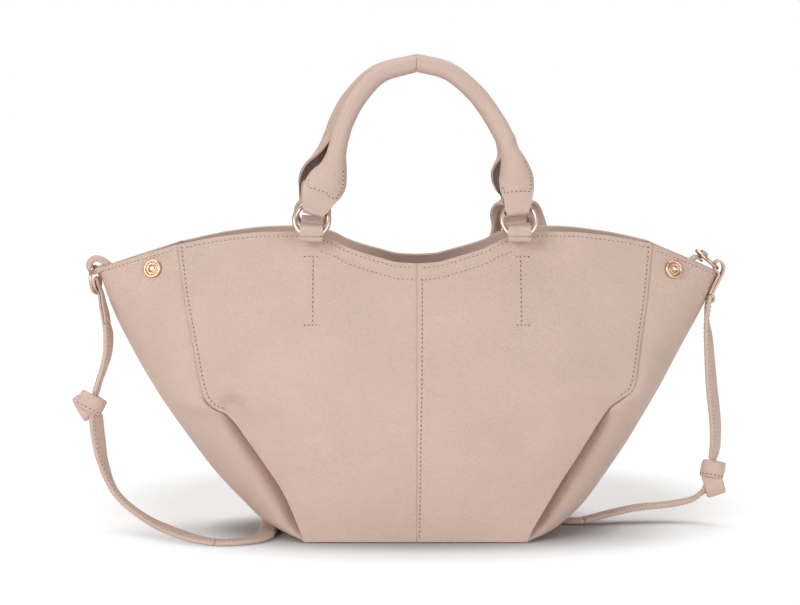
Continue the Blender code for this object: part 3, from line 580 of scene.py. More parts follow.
def cloth_material(name, tone):
    """A plain weave: two crossed sets of ribs."""
    made, tree, shader, place = node_material(name)
    ribs = []
    for direction in ("X", "Z"):
        wave = tree.nodes.new("ShaderNodeTexWave")
        wave.bands_direction = direction
        wave.inputs["Scale"].default_value = 620
        tree.links.new(place, wave.inputs["Vector"])
        ribs.append(wave.outputs["Fac"])
    dark = tuple(value * 0.86 for value in tone)
    tree.links.new(colour_mix(tree, noise(tree, place, 500, 3), dark, tone), shader.inputs["Base Color"])
    shader.inputs["Roughness"].default_value = 0.9
    shader.inputs["Sheen Weight"].default_value = 0.2
    add_bump(tree, shader, [(ribs[0], 0.00005), (ribs[1], 0.00005)])
    return made


LEATHER_TONE = (0.665, 0.497, 0.418)
LOOKS = {
    "leather": leather_material("bag_leather", LEATHER_TONE),
    "strap": leather_material("strap_leather", LEATHER_TONE, 0.5, 0.7),
    "inside": leather_material("inside_leather", (0.6, 0.45, 0.38), 0.6, 0.5),
    # The flesh side of the handle sheets: its own duller tone, made darker still as painted shade for the
    # hollows of the curled leaves
    "flesh_painted_shade": leather_material("flesh_side_painted_shade", (0.27, 0.185, 0.15), 0.8, 1.5),
    "thread": thread_material("thread", (0.78, 0.62, 0.53)),
    "hole": hole_shade_material("needle_hole_painted_shade", (0.12, 0.07, 0.05)),
    "rose": metal_material("rose_metal", (0.84, 0.65, 0.56), 0.32),
    "gold": metal_material("gold_metal", (0.74, 0.53, 0.38), 0.28),
    "lining": cloth_material("lining_cloth", (0.5, 0.38, 0.32)),
    "core": cloth_material("core_cord", (0.7, 0.66, 0.6)),
    "board": cloth_material("stiff_board", (0.4, 0.35, 0.3)),
}


# Meshes


def add_object(name, points, faces, looks, smooth=True):
    data = bpy.data.meshes.new(name)
    data.from_pydata([tuple(point) for point in np.array(points, float) * MM], [], faces)
    for look in looks:
        data.materials.append(LOOKS[look])
    for polygon in data.polygons:
        polygon.use_smooth = smooth
    data.update()
    obj = bpy.data.objects.new(name, data)
    bpy.context.scene.collection.objects.link(obj)
    return obj


def apply_modifiers(obj):
    bpy.context.view_layer.update()
    solid = bpy.data.meshes.new_from_object(obj.evaluated_get(bpy.context.evaluated_depsgraph_get()))
    obj.modifiers.clear()
    obj.data = solid
    return obj


def bevel(obj, width, segments=2, angle=50):
    made = obj.modifiers.new("bevel", "BEVEL")
    made.width = width * MM
    made.segments = segments
    made.limit_method = "ANGLE"
    made.angle_limit = math.radians(angle)
    made.use_clamp_overlap = True
    return apply_modifiers(obj)


def dress(obj, body, slot, *nodes):
    """Hands a finished piece to its body and hides the solids it stands for. Its material slot is not used.
    """
    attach(obj, body)
    if nodes:
        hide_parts(*nodes)
    return obj


def wall(name, outer, inner, look, edge_width=0.45):
    """A closed sheet between two grids of points that lie face to face."""
    rows, columns = len(outer), len(outer[0])
    points = [point for row in outer for point in row] + [point for row in inner for point in row]
    count = rows * columns
    faces = []
    for row in range(rows - 1):
        for column in range(columns - 1):
            a = row * columns + column
            faces.append((a, a + 1, a + columns + 1, a + columns))
            b = a + count
            faces.append((b, b + columns, b + columns + 1, b + 1))
    border = [column for column in range(columns)]
    border += [row * columns + columns - 1 for row in range(1, rows)]
    border += [(rows - 1) * columns + column for column in range(columns - 2, -1, -1)]
    border += [row * columns for row in range(rows - 2, 0, -1)]
    for index, a in enumerate(border):
        b = border[(index + 1) % len(border)]
        faces.append((b, a, a + count, b + count))
    points = np.array(points)
    a, b, _, d = (points[corner] for corner in faces[(rows // 2) * 2 * (columns - 1)])
    if np.dot(np.cross(b - a, d - a), a - INSIDE_POINT) < 0:
        faces = [face[::-1] for face in faces]
    obj = add_object(name, points, faces, [look])
    if edge_width:
        bevel(obj, edge_width)
        for polygon in obj.data.polygons:
            polygon.use_smooth = True
    return obj


def loft(rings):
    count = len(rings[0])
    points = [point for ring in rings for point in ring]
    faces = []
    for ring in range(len(rings) - 1):
        for side in range(count):
            nxt = (side + 1) % count
            here = ring * count
            above = here + count
            faces.append((here + side, here + nxt, above + nxt, above + side))
    faces.append(tuple(range(count))[::-1])
    last = (len(rings) - 1) * count
    faces.append(tuple(range(last, last + count)))
    return points, faces


def smooth_path(knots, steps):
    """A curve through rows of values, with so many steps from each row to the next."""
    knots = np.array(knots, float)
    padded = np.vstack([2 * knots[0] - knots[1], knots, 2 * knots[-1] - knots[-2]])
    found = []
    for index in range(len(knots) - 1):
        before, start, end, after = padded[index:index + 4]
        for step in range(steps):
            t = step / steps
            found.append(0.5 * (2 * start + (end - before) * t
                                + (2 * before - 5 * start + 4 * end - after) * t * t
                                + (3 * start - before - 3 * end + after) * t ** 3))
    found.append(knots[-1])
    return np.array(found)


def spaced(points, pitch):
    """Points at an even pitch along a line of points, as far as whole pitches go."""
    points = np.array(points, float)
    lengths = np.concatenate([[0], np.cumsum(np.linalg.norm(np.diff(points[:, :3], axis=0), axis=1))])
    count = max(int(round(lengths[-1] / pitch)), 1)
    places = np.linspace(0, lengths[-1], count + 1)
    return np.array([np.interp(places, lengths, points[:, axis]) for axis in range(points.shape[1])]).T


def band_frames(centres, widths):
    """At each centre of a strip: the centre, the way along, the way across and the way its face looks."""
    frames = []
    for index, centre in enumerate(centres):
        along = unit(centres[min(index + 1, len(centres) - 1)] - centres[max(index - 1, 0)])
        across = unit(widths[index] - along * np.dot(widths[index], along))
        frames.append((np.array(centre), along, across, np.cross(along, across)))
    return frames


def band(name, centres, widths, width, thickness, look, dome=0.12):
    """A flat strip with rounded edges and slightly crowned faces, of one width or a list of widths."""
    sizes = [width] * len(centres) if np.isscalar(width) else list(width)
    return ribbon(name, band_frames(centres, widths), sizes, thickness, look, dome)


def ribbon(name, frames, sizes, thickness, look, dome=0.12):
    rings = []
    for (centre, _, across, up), size in zip(frames, sizes):
        rings.append([centre + across * x + up * y for x, y in strip_outline(size, thickness, dome)])
    points, faces = loft(rings)
    return add_object(name, points, faces, [look])


def strip_outline(width, thickness, dome):
    """The section of a strip: four rounded corners, with a crowned face above and below."""
    outline = []
    corner = thickness * STRIP_CORNER
    for quarter, (side_x, side_y) in enumerate(((1, -1), (1, 1), (-1, 1), (-1, -1))):
        for step in range(4):
            turn = math.radians(90 * (quarter - 1) + 30 * step)
            outline.append((side_x * (width / 2 - corner) + corner * math.cos(turn),
                            side_y * (thickness / 2 - corner) + corner * math.sin(turn)))
        if side_x == side_y:
            for share in (0.25, 0.5, 0.75):
                x = mix(side_x, -side_x, share) * (width / 2 - corner)
                outline.append((x, side_y * (thickness / 2 + dome * math.sin(math.pi * share))))
    return outline


# Stitches


def stitch_mesh():
    """One stitch lying along X with its face to +Z."""
    rings = []
    for share, size in ((-1, 0.35), (-0.8, 0.8), (-0.3, 1), (0.3, 1), (0.8, 0.8), (1, 0.35)):
        lift = STITCH_RADIUS * (0.6 - 0.9 * abs(share) ** 3)
        rings.append([(share * STITCH_LENGTH / 2, size * STITCH_RADIUS * math.cos(turn),
                       lift + size * STITCH_RADIUS * math.sin(turn)) for turn in circle(6)])
    points, faces = loft(rings)
    return hidden(add_object("one_stitch", points, faces, ["thread"]))


def hole_mesh(name, length, width):
    """The needle hole at the end of a stitch, a dark disc of painted shade, with the same directions."""
    points = [(STITCH_PITCH / 2 + length / 2 * math.cos(turn), width / 2 * math.sin(turn), 0.07)
              for turn in circle(8)]
    points += [(x, y, -0.2) for x, y, _ in points]
    faces = [tuple(range(8)), tuple(range(8, 16))[::-1]]
    faces += [(side, side + 8, (side + 1) % 8 + 8, (side + 1) % 8) for side in range(8)]
    return hidden(add_object(name, points, faces, ["hole"]))


def hidden(obj):
    obj.hide_render = True
    return obj


STITCH = stitch_mesh()
SMALL_HOLE = hole_mesh("small_hole", HOLE_LENGTH * 0.7, HOLE_WIDTH * 0.7)
LARGE_HOLE = hole_mesh("large_hole", HOLE_LENGTH, HOLE_WIDTH)


def scatter_tree(source, look):
    """A geometry tree that puts the source at each point, turned by the point's own two directions."""
    tree = bpy.data.node_groups.new(f"scatter_{source.name}", "GeometryNodeTree")
    tree.interface.new_socket("Geometry", in_out="INPUT", socket_type="NodeSocketGeometry")
    tree.interface.new_socket("Geometry", in_out="OUTPUT", socket_type="NodeSocketGeometry")
    start = tree.nodes.new("NodeGroupInput")
    end = tree.nodes.new("NodeGroupOutput")
    points = tree.nodes.new("GeometryNodeMeshToPoints")
    info = tree.nodes.new("GeometryNodeObjectInfo")
    info.inputs["Object"].default_value = source
    copy = tree.nodes.new("GeometryNodeInstanceOnPoints")
    real = tree.nodes.new("GeometryNodeRealizeInstances")
    paint = tree.nodes.new("GeometryNodeSetMaterial")
    paint.inputs["Material"].default_value = LOOKS[look]
    turn = None
    for axis, name in (("X", "along"), ("Z", "facing")):
        direction = tree.nodes.new("GeometryNodeInputNamedAttribute")
        direction.data_type = "FLOAT_VECTOR"
        direction.inputs["Name"].default_value = name
        align = tree.nodes.new("FunctionNodeAlignRotationToVector")
        align.axis = axis
        if turn is not None:
            align.pivot_axis = "X"
            tree.links.new(turn, align.inputs["Rotation"])
        tree.links.new(direction.outputs["Attribute"], align.inputs["Vector"])
        turn = align.outputs["Rotation"]
    tree.links.new(start.outputs["Geometry"], points.inputs["Mesh"])
    tree.links.new(points.outputs["Points"], copy.inputs["Points"])
    tree.links.new(info.outputs["Geometry"], copy.inputs["Instance"])
    tree.links.new(turn, copy.inputs["Rotation"])
    tree.links.new(copy.outputs["Instances"], real.inputs["Geometry"])
    tree.links.new(real.outputs["Geometry"], paint.inputs["Geometry"])
    tree.links.new(paint.outputs["Geometry"], end.inputs["Geometry"])
    return tree


# Thread, and needle holes of painted shade: small in the light rows, large in the dark rows
SCATTER = {
    "thread": scatter_tree(STITCH, "thread"),
    "light": scatter_tree(SMALL_HOLE, "hole"),
    "dark": scatter_tree(LARGE_HOLE, "hole"),
}
ROWS_OF_STITCHES = {}


def stitch_row(body, line, normals, pitch=STITCH_PITCH, look="light"):
    """Keeps a row of stitches for one body: a line of points on a surface, and the ways it faces there."""
    both = np.hstack([np.array(line, float), np.array(normals, float)])
    even = spaced(both, pitch)
    for start, end in zip(even[:-1], even[1:]):
        middle = (start + end) / 2
        kept = (middle[:3], unit(end[:3] - start[:3]), unit(middle[3:]), look)
        ROWS_OF_STITCHES.setdefault(body, []).append(kept)


def sew(body, name):
    """Turns the kept rows of one body into one mesh of thread and needle holes of painted shade."""
    parts = []
    for kind in ("thread", "light", "dark"):
        rows = [row for row in ROWS_OF_STITCHES[body] if kind in ("thread", row[3])]
        if not rows:
            continue
        data = bpy.data.meshes.new(f"{name}_{kind}")
        data.from_pydata([tuple(np.array(row[0]) * MM) for row in rows], [], [])
        for attribute, index in (("along", 1), ("facing", 2)):
            layer = data.attributes.new(attribute, "FLOAT_VECTOR", "POINT")
            layer.data.foreach_set("vector", np.array([row[index] for row in rows], np.float32).ravel())
        obj = bpy.data.objects.new(f"{name}_{kind}", data)
        bpy.context.scene.collection.objects.link(obj)
        made = obj.modifiers.new("scatter", "NODES")
        made.node_group = SCATTER[kind]
        parts.append(apply_modifiers(obj))
    return join(parts, name)


def join(parts, name):
    for obj in bpy.context.selected_objects:
        obj.select_set(False)
    for obj in parts:
        obj.select_set(True)
    bpy.context.view_layer.objects.active = parts[0]
    bpy.ops.object.join()
    parts[0].name = name
    return parts[0]


# Body surfaces


def panel_surface(share, level, side):
    """The front panel's outer face, at a share of its half width and a level between the base and the rim."""
    height = level * rim_height(share * EDGE_TOP[side])
    reach = share * panel_edge(height, side)
    edge = edge_depth(height)
    depth = edge + (middle_depth(height) - edge) * (1 - share ** PANEL_ROUNDNESS)
    return np.array([side * reach, -depth - panel_ripple(reach, height, side), height])


def panel_ripple(reach, height, side):
    """Soft dents and swells of the leather, outwards in millimetres."""
    total = 0
    for size, centre, spread, middle, tall, climb in SWELLS[side]:
        total += size * bump(reach, centre, spread) * bump(height, middle + (reach - centre) * climb, tall)
    return total


def panel_point(share, level, side, inset=0.0, front=1):
    step = 0.004
    share = min(share, 1)
    place = panel_surface(share, level, side)
    if inset:
        right = panel_surface(min(share + step, 1), level, side)
        left = panel_surface(max(share - step, 0), level, side)
        above = panel_surface(share, min(level + step, 1), side)
        below = panel_surface(share, max(level - step, 0), side)
        place = place - unit(np.cross(right - left, above - below)) * side * inset
    return place * np.array([1, front, 1])


def panel_normal(share, level, side, front=1):
    inner = panel_point(share, level, side, 1.0, front)
    return unit(panel_point(share, level, side, 0, front) - inner)


def valley(height):
    """How far the gusset's edge lies behind the panel's edge, where the body is pinched in."""
    if height >= VALLEY_TOP:
        return 0.0
    return VALLEY_DEPTH * math.sin(math.pi * height / VALLEY_TOP) ** VALLEY_POWER


def window(heights, height):
    return ease(heights[0], heights[1], height) * (1 - ease(heights[2], heights[3], height))


def crease(height, away):
    """How far the gusset's leather is tucked in behind a panel's edge, below the end of the seam."""
    tuck = CREASE_DEPTH * window(CREASE_WINDOW, height) * math.exp(-away / CREASE_WIDTH)
    slot = SLOT_DEPTH * window(SLOT_WINDOW, height) * bump(away, 0, SLOT_WIDTH)
    return tuck + slot


def wing_sharpness(height):
    """The wing's section is round at the base and comes to a fold at the rim."""
    rim = RIM[-1][1]
    return mix(ROUND_WING, SHARP_WING, min(max((height - VALLEY_TOP) / (rim - VALLEY_TOP), 0), 1))


def wing_surface(side, level, angle, inset=0.0):
    """The gusset's outer face or a layer set in from it, from 0 at the front seam to 180 at the back one."""
    turn = math.radians(min(max(angle, 0), 180))
    sine, cosine = math.sin(turn), math.cos(turn)
    height = level * mix(RIM[-1][1], NOSE_TIP[side], max(sine, 0) ** (2 / SHARP_WING))
    power = 2 / wing_sharpness(height)
    start = panel_edge(height, side) + VALLEY_SHIFT * min(height / VALLEY_SHIFT_RISE, 1)
    half_depth = edge_depth(height) - SEAM_STEP - valley(height)
    reach = max(NOSE[side](height) - start, 0)
    if inset:
        tuck = BASE_TUCK[0] * inset * bump(height, 0, BASE_TUCK[1])
        reach = max(reach * (half_depth - inset) / half_depth - tuck, 0)
        half_depth -= inset
    depth = half_depth * math.copysign(abs(cosine) ** power, cosine)
    away = reach * max(sine, 0) ** power
    depth = math.copysign(max(abs(depth) - crease(height, away), 0), depth)
    return np.array([side * (start + away), -depth, height])


def wing_normal(side, level, angle):
    across = wing_surface(side, level, angle + 1) - wing_surface(side, level, angle - 1)
    rise = wing_surface(side, min(level + 0.01, 1), angle) - wing_surface(side, max(level - 0.01, 0), angle)
    return unit(np.cross(across, rise)) * side


def skived(share, level, side):
    """The leather's thickness, pared down near the lapped edge."""
    from_edge = (1 - share) * panel_edge(level * RIM[-1][1], side)
    return mix(SKIVED_EDGE, LEATHER, ease(*SKIVE_REACH, from_edge))


def outer_panels():
    for face, front in (("front", 1), ("back", -1)):
        for name, side in (("left", -1), ("right", 1)):
            outer, inner = [], []
            for level in BODY_LEVELS:
                outer.append([panel_point(share, level, side, 0, front) for share in PANEL_SHARES])
                inner.append([panel_point(share, level, side, skived(share, level, side), front)
                              for share in PANEL_SHARES])
            obj = wall(f"{face}_leather_{name}", outer, inner, "leather")
            dress(obj, "bag", "leather", f"{face}_panel_{name}")


def wing_grid(side):
    """The gusset's outer face from the front seam round to the back one, with the laps under both panels."""
    grid = []
    for level in BODY_LEVELS:
        lap = []
        for back in (LAP_START, SEAM_LAP, SEAM_LAP * 0.5, 0.4):
            share = 1 - back / panel_edge(level * RIM[-1][1], side)
            inset = mix(SEAM_STEP, LEATHER + GAP, ease(1, LAP_START, back))
            lap.append(panel_point(share, level, side, inset))
        row = lap + [wing_surface(side, level, angle) for angle in WING_ANGLES]
        row += [point * np.array([1, -1, 1]) for point in reversed(lap)]
        grid.append(row)
    return grid


def inner_of(grid, thickness):
    """The grid moved in by a thickness along its own surface directions."""
    points = np.array(grid, float)
    across = np.gradient(points, axis=1)
    rise = np.gradient(points, axis=0)
    normals = np.cross(across, rise)
    lengths = np.linalg.norm(normals, axis=2, keepdims=True)
    normals = normals / np.maximum(lengths, 1e-9)
    outward = np.sum(normals * (points - INSIDE_POINT), axis=2).mean()
    return points - normals * thickness * (1 if outward > 0 else -1)


def outer_wings():
    for name, side in (("left", -1), ("right", 1)):
        outer = wing_grid(side)
        inner = inner_of(outer, LEATHER)
        inner[:, :, 2] = np.maximum(inner[:, :, 2], GAP)
        obj = wall(f"wing_leather_{name}", outer, inner, "leather")
        dress(obj, "bag", "leather", f"gusset_{name}")


def tab_room(x):
    """How near a point of the rim is to a handle tab, from 0 to 1."""
    return max(1 - ease(*TAB_CLEARANCE, abs(x - place)) for place in TAB_MIDDLES)


def facing_inset(x, height, rim, full):
    """How far the facing lies inside the panel's outer face: least at the rim, except by the handle tabs."""
    below = ease(0, FACING_BLEND, rim - height)
    return mix(mix(RIM_INSET, full - GAP, tab_room(x)), full, below)


def facings():
    levels = levels_between(1 - FACING_DEPTH / RIM[0][1], 1, 20)
    for face, front in (("front", 1), ("back", -1)):
        outer, inner = [], []
        for level in levels:
            row_out, row_in = [], []
            for side, shares in ((-1, PANEL_SHARES[:0:-1]), (1, PANEL_SHARES)):
                for share in shares:
                    share = min(share, FACING_REACH)
                    place = panel_surface(share, level, side)
                    rim = rim_height(share * EDGE_TOP[side])
                    inset = facing_inset(place[0], place[2], rim, LINING_INSET)
                    row_out.append(panel_point(share, level, side, inset, front))
                    row_in.append(panel_point(share, level, side, inset + FACING, front))
            outer.append(row_out)
            inner.append(row_in)
        obj = wall(f"{face}_facing_leather", outer, inner, "inside")
        dress(obj, "bag", "leather", f"{face}_facing")
    for name, side in (("left", -1), ("right", 1)):
        outer, inner = [], []
        for level in levels:
            below = ease(0, FACING_BLEND, (1 - level) * NOSE_TIP[side])
            inset = mix(RIM_INSET + GAP, WING_INSET, below)
            outer.append([wing_surface(side, level, angle, inset) for angle in WING_ANGLES])
            inner.append([wing_surface(side, level, angle, inset + FACING) for angle in WING_ANGLES])
        obj = wall(f"wing_facing_{name}", outer, inner, "inside")
        dress(obj, "bag", "leather", f"gusset_facing_{name}")


def linings():
    top = 1 - FACING_DEPTH / RIM[0][1] - 0.002
    halves = [(-1, PANEL_SHARES[:0:-2]), (1, PANEL_SHARES[::2])]
    spots = [(side, min(share, LINING_REACH)) for side, shares in halves for share in shares]
    for face, front in (("front", 1), ("back", -1)):
        outer, inner = [], []
        for level in levels_between(LINING_FOOT / RIM[0][1], top, 36):
            for rows, inset in ((outer, LINING_INSET), (inner, LINING_INSET + LINING)):
                rows.append([panel_point(share, level, side, inset, front) for side, share in spots])
        obj = wall(f"{face}_lining_cloth", outer, inner, "lining", 0.2)
        dress(obj, "bag", "lining", f"{face}_lining")
    for name, side in (("left", -1), ("right", 1)):
        outer, inner = [], []
        lap = np.array([side * LINING_LAP, 0, 0])
        for level in levels_between(WING_LINING_FOOT, top, 36):
            for rows, inset in ((outer, WING_INSET), (inner, WING_INSET + LINING)):
                row = [wing_surface(side, level, angle, inset) for angle in WING_ANGLES]
                rows.append([row[0] - lap] + row + [row[-1] - lap])
        obj = wall(f"wing_lining_{name}", outer, inner, "lining", 0.2)
        dress(obj, "bag", "lining", f"gusset_lining_{name}")


def plate(name, x, y, bottom, top, look, edge):
    corners = [(-x, -y), (x, -y), (x, y), (-x, y)]
    points = [(*corner, height) for height in (bottom, top) for corner in corners]
    faces = [(3, 2, 1, 0), (4, 5, 6, 7), (0, 1, 5, 4), (1, 2, 6, 5), (2, 3, 7, 6), (3, 0, 4, 7)]
    return bevel(add_object(name, points, faces, [look], False), edge, 3)


def base():
    for name, finish, node, inset, bottom, top, edge in BASE_LAYERS:
        obj = plate(name, BASE_HALF_WIDTH - inset, BASE_HALF_DEPTH - inset, bottom, top, finish, edge)
        dress(obj, "bag", finish, node)


def panel_line(points, side, front):
    """A line on a panel through pairs of share and level, with the directions it faces."""
    line = [panel_point(share, level, side, 0, front) for share, level in points]
    normals = [panel_normal(share, level, side, front) for share, level in points]
    return line, normals


def rim_stitches(shares, below, side, front):
    """A row that follows the rim at a distance below it."""
    line = [(share, 1 - below / rim_height(share * EDGE_TOP[side])) for share in shares]
    stitch_row("bag", *panel_line(line, side, front))


def seam_line(side):
    """The row of stitches that follows a panel's lapped edge, as pairs of share and level."""
    found = []
    for height in np.linspace(HOOK_FOOT[side], SEAM_TOP, 70):
        slope = panel_edge(height + 0.5, side) - panel_edge(height - 0.5, side)
        length = math.hypot(slope, 1)
        x = panel_edge(height, side) - SEAM_STITCH / length
        z = height + SEAM_STITCH * slope / length
        share = x / panel_edge(z, side)
        found.append((share, z / rim_height(share * EDGE_TOP[side])))
    return found


def body_stitches():
    for front in (1, -1):
        for side in (-1, 1):
            rim_stitches(np.linspace(0.012, 0.978, 60), RIM_STITCH, side, front)
            rim_stitches(np.linspace(0.0, 0.395, 26), FACING_STITCH, side, front)
            stitch_row("bag", *panel_line(seam_line(side), side, front), look="dark")
            mark_stitches(side, front)
        centre = [(CENTRE_STITCH / EDGE_TOP[1], level) for level in np.linspace(0.01, 0.94, 70)]
        stitch_row("bag", *panel_line(centre, 1, front), look="dark")
    for side in (-1, 1):
        for mirror in (1, -1):
            flip = np.array([1, mirror, 1])
            angles = np.linspace(6, 84, 40)
            level = 1 - RIM_STITCH / WING_RIM
            line = [wing_surface(side, level, angle) * flip for angle in angles]
            stitch_row("bag", line, [wing_normal(side, level, angle) * flip for angle in angles])


def mark_place(x, height, side):
    return x / panel_edge(height, side), height / rim_height(x)


def mark_stitches(side, front):
    """The upright row with two short bars that holds each handle tab."""
    upright = [mark_place(MARK_X, height, side) for height in np.linspace(*MARK_HEIGHTS, 20)]
    stitch_row("bag", *panel_line(upright, side, front), look="dark")
    for height in MARK_HEIGHTS:
        bar = [mark_place(MARK_X + step, height, side) for step in np.linspace(-MARK_BAR, MARK_BAR, 6)]
        stitch_row("bag", *panel_line(bar, side, front), pitch=MARK_PITCH, look="dark")


# Handles


def lean_point(x, out, rise, front):
    """A place by the plane in which a handle leans: out from it, and a rise above the top of its rings."""
    y = -RING_HINGE_Y + 2 * RING_RADIUS * math.sin(LEAN) + rise * math.sin(LEAN) - out * math.cos(LEAN)
    z = RING_HINGE_Z + 2 * RING_RADIUS * math.cos(LEAN) + rise * math.cos(LEAN) + out * math.sin(LEAN)
    return np.array([x, front * y, z])


def leaf_stations(face, side):
    """The sheet that makes half a handle: from the end sewn behind its ring, round the ring, up to the top.

    Each station has x, distance out from the leaning plane, rise, width and the angle of the sheet's curl.
    """
    legs = HANDLE_LEGS[face][side]
    place = smooth_path([(x, rise) for rise, x, _, _, _ in legs], 6)
    rises = [leg[0] for leg in legs]
    shape = {name: smooth_reader(list(zip(rises, [leg[index] for leg in legs])))
             for index, name in ((2, "width"), (3, "out"), (4, "curl"))}
    slope = FOLD_SLOPE[face][side]
    stations = []
    for out, rise in smooth_path(FOLD_ROUTE, 4)[:-1]:
        width = mix(FOLD_WIDTH, shape["width"](rises[0]), ease(-LOOP_DROP, rises[0], rise))
        stations.append((legs[0][1] + slope * (rise - rises[0]), out, rise, width, 6))
    for x, rise in place:
        stations.append((x, shape["out"](rise), rise, shape["width"](rise), shape["curl"](rise)))
    top = smooth_path(HANDLE_TOP[face][side], 10)
    for x, rise in top[1:]:
        stations.append((x, TUBE / 2, rise, TUBE, TUBE_CURL))
    return stations


def handle_sheet(face, side, front):
    """One half of a handle as points and faces, and the frames of its leaf and tube for its stitches."""
    stations = leaf_stations(face, side)
    spots = [lean_point(x, out, rise, front) for x, out, rise, _, _ in stations]
    out_way = unit(lean_point(0, 1, 0, front) - lean_point(0, 0, 0, front))
    rings = []
    frames = []
    folded = len(smooth_path(FOLD_ROUTE, 4))
    slope = FOLD_SLOPE[face][side]
    level_across = unit(lean_point(1, 0, -slope, front) - lean_point(0, 0, 0, front))
    for index, (x, out, rise, width, curl) in enumerate(stations):
        ahead = spots[min(index + 1, len(spots) - 1)]
        behind = spots[max(index - 1, 0)]
        along = unit(ahead - behind)
        across = level_across
        if index >= folded:
            level = along - out_way * np.dot(along, out_way)
            turned_across = unit(np.cross(level, out_way) * front)
            across = unit(mix(level_across, turned_across, ease(folded, folded + 10, index)))
        facing = unit(np.cross(across, along) * front)
        across = unit(np.cross(along, facing) * front)
        half = math.radians(curl) / 2
        radius = width / 2 if half >= math.pi / 2 else width / 2 / math.sin(half)
        frames.append((spots[index], across, facing, radius, half, rise, out))
        rings.append(sheet_ring(spots[index], across, facing, radius, half))
    rings[-1] = [point * np.array([0, 1, 1]) + np.array([JOINT_X[side], 0, 0]) for point in rings[-1]]
    points, faces = loft(rings)
    return points, faces, frames[folded:]


def sheet_ring(spot, across, facing, radius, half):
    """A curled sheet of leather in section: its outer arc, then its inner arc back."""
    found = []
    count = SHEET_POINTS // 2
    outer, inner = np.linspace(-half, half, count), np.linspace(half, -half, count)
    for depth, turns in ((0, outer), (HANDLE_LEATHER, inner)):
        for turn in turns:
            reach = radius - depth
            found.append(spot + across * reach * math.sin(turn) - facing * (radius - reach * math.cos(turn)))
    return found


def sheet_spot(frames, rise, offset):
    """The place on a leaf's outer face at a rise and a distance from its middle, and the way it faces."""
    rises = [frame_row[5] for frame_row in frames]
    index = min(range(len(frames)), key=lambda row: abs(rises[row] - rise))
    spot, across, facing, radius, half, _, _ = frames[index]
    turn = max(-half * 0.97, min(half * 0.97, math.asin(max(-0.95, min(0.95, offset / radius)))))
    normal = facing * math.cos(turn) + across * math.sin(turn)
    return spot + across * radius * math.sin(turn) - facing * radius * (1 - math.cos(turn)), normal


def handles():
    for face, front in (("front", 1), ("back", -1)):
        for side in ("left", "right"):
            points, faces, frames = handle_sheet(face, side, front)
            obj = add_object(f"{face}_grip_{side}", points, faces, ["leather", "flesh_painted_shade"])
            # The inner arc gets the flesh side, darkened as painted shade
            for index, polygon in enumerate(obj.data.polygons):
                polygon.material_index = int(index % SHEET_POINTS in PAINTED_SHADE_FLESH_SIDE)
            bevel(obj, 0.45, 2, 60)
            for polygon in obj.data.polygons:
                polygon.use_smooth = True
            dress(obj, f"{face}_handle", "leather", f"{face}_handle_{side}")
            leaf_stitches(f"{face}_handle", frames, LEAF_ROWS[side])
        dress(sew(f"{face}_handle", f"{face}_handle_stitches"), f"{face}_handle", "leather")


def leaf_stitches(body, frames, row):
    """A row of stitches round the foot of a leaf: pairs of rise and share of the half width."""
    line, normals = [], []
    rises = [frame_row[5] for frame_row in frames]
    for rise, share in spaced(np.array(row) * LEAF_SCALE, 0.8) / LEAF_SCALE:
        index = min(range(len(frames)), key=lambda at: abs(rises[at] - rise))
        radius, half = frames[index][3], frames[index][4]
        width = radius * math.sin(min(half, math.pi / 2))
        place, normal = sheet_spot(frames, rise, share * (width - LEAF_STITCH))
        line.append(place)
        normals.append(normal)
    stitch_row(body, line, normals, LEAF_PITCH, "dark")


def cores():
    """The cord inside each rolled handle, from one leaf up over the top to the other."""
    for face, front in (("front", 1), ("back", -1)):
        halves = []
        for side in ("left", "right"):
            frames = handle_sheet(face, side, front)[2]
            halves.append([spot - facing * radius for spot, _, facing, radius, half, _, _ in frames
                           if half >= math.radians(CORE_CURL) / 2])
        centres = spaced(halves[0] + halves[1][-2::-1], CORE_PITCH)
        rings = []
        for centre, _, across, up in band_frames(centres, [np.array([0, 1.0, 0])] * len(centres)):
            rings.append([centre + (across * math.cos(turn) + up * math.sin(turn)) * CORE_RADIUS
                          for turn in circle(24)])
        points, faces = loft(rings)
        obj = add_object(f"{face}_core_cord", points, faces, ["core"])
        dress(obj, f"{face}_handle", "core", f"{face}_handle_core")


def handle_tabs():
    for face, front in (("front", 1), ("back", -1)):
        for side in ("left", "right"):
            centres, widths = handle_tab_path(face, side, front)
            obj = band(f"{face}_tab_{side}", centres, widths, TAB_WIDTH, TAB_LEATHER, "leather", 0.08)
            dress(obj, "bag", "leather", f"{face}_handle_tab_{side}")
            row_y = -(RING_HINGE_Y + TAB_FRONT_ROOM + TAB_LEATHER) - 0.05
            row_x = RING_X[face][side] + np.linspace(-TAB_ROW, TAB_ROW, 5)
            line = [np.array([x, front * row_y, TAB_ROW_HEIGHT]) for x in row_x]
            stitch_row("bag", line, [np.array([0, -front, 0])] * 5, TAB_PITCH)


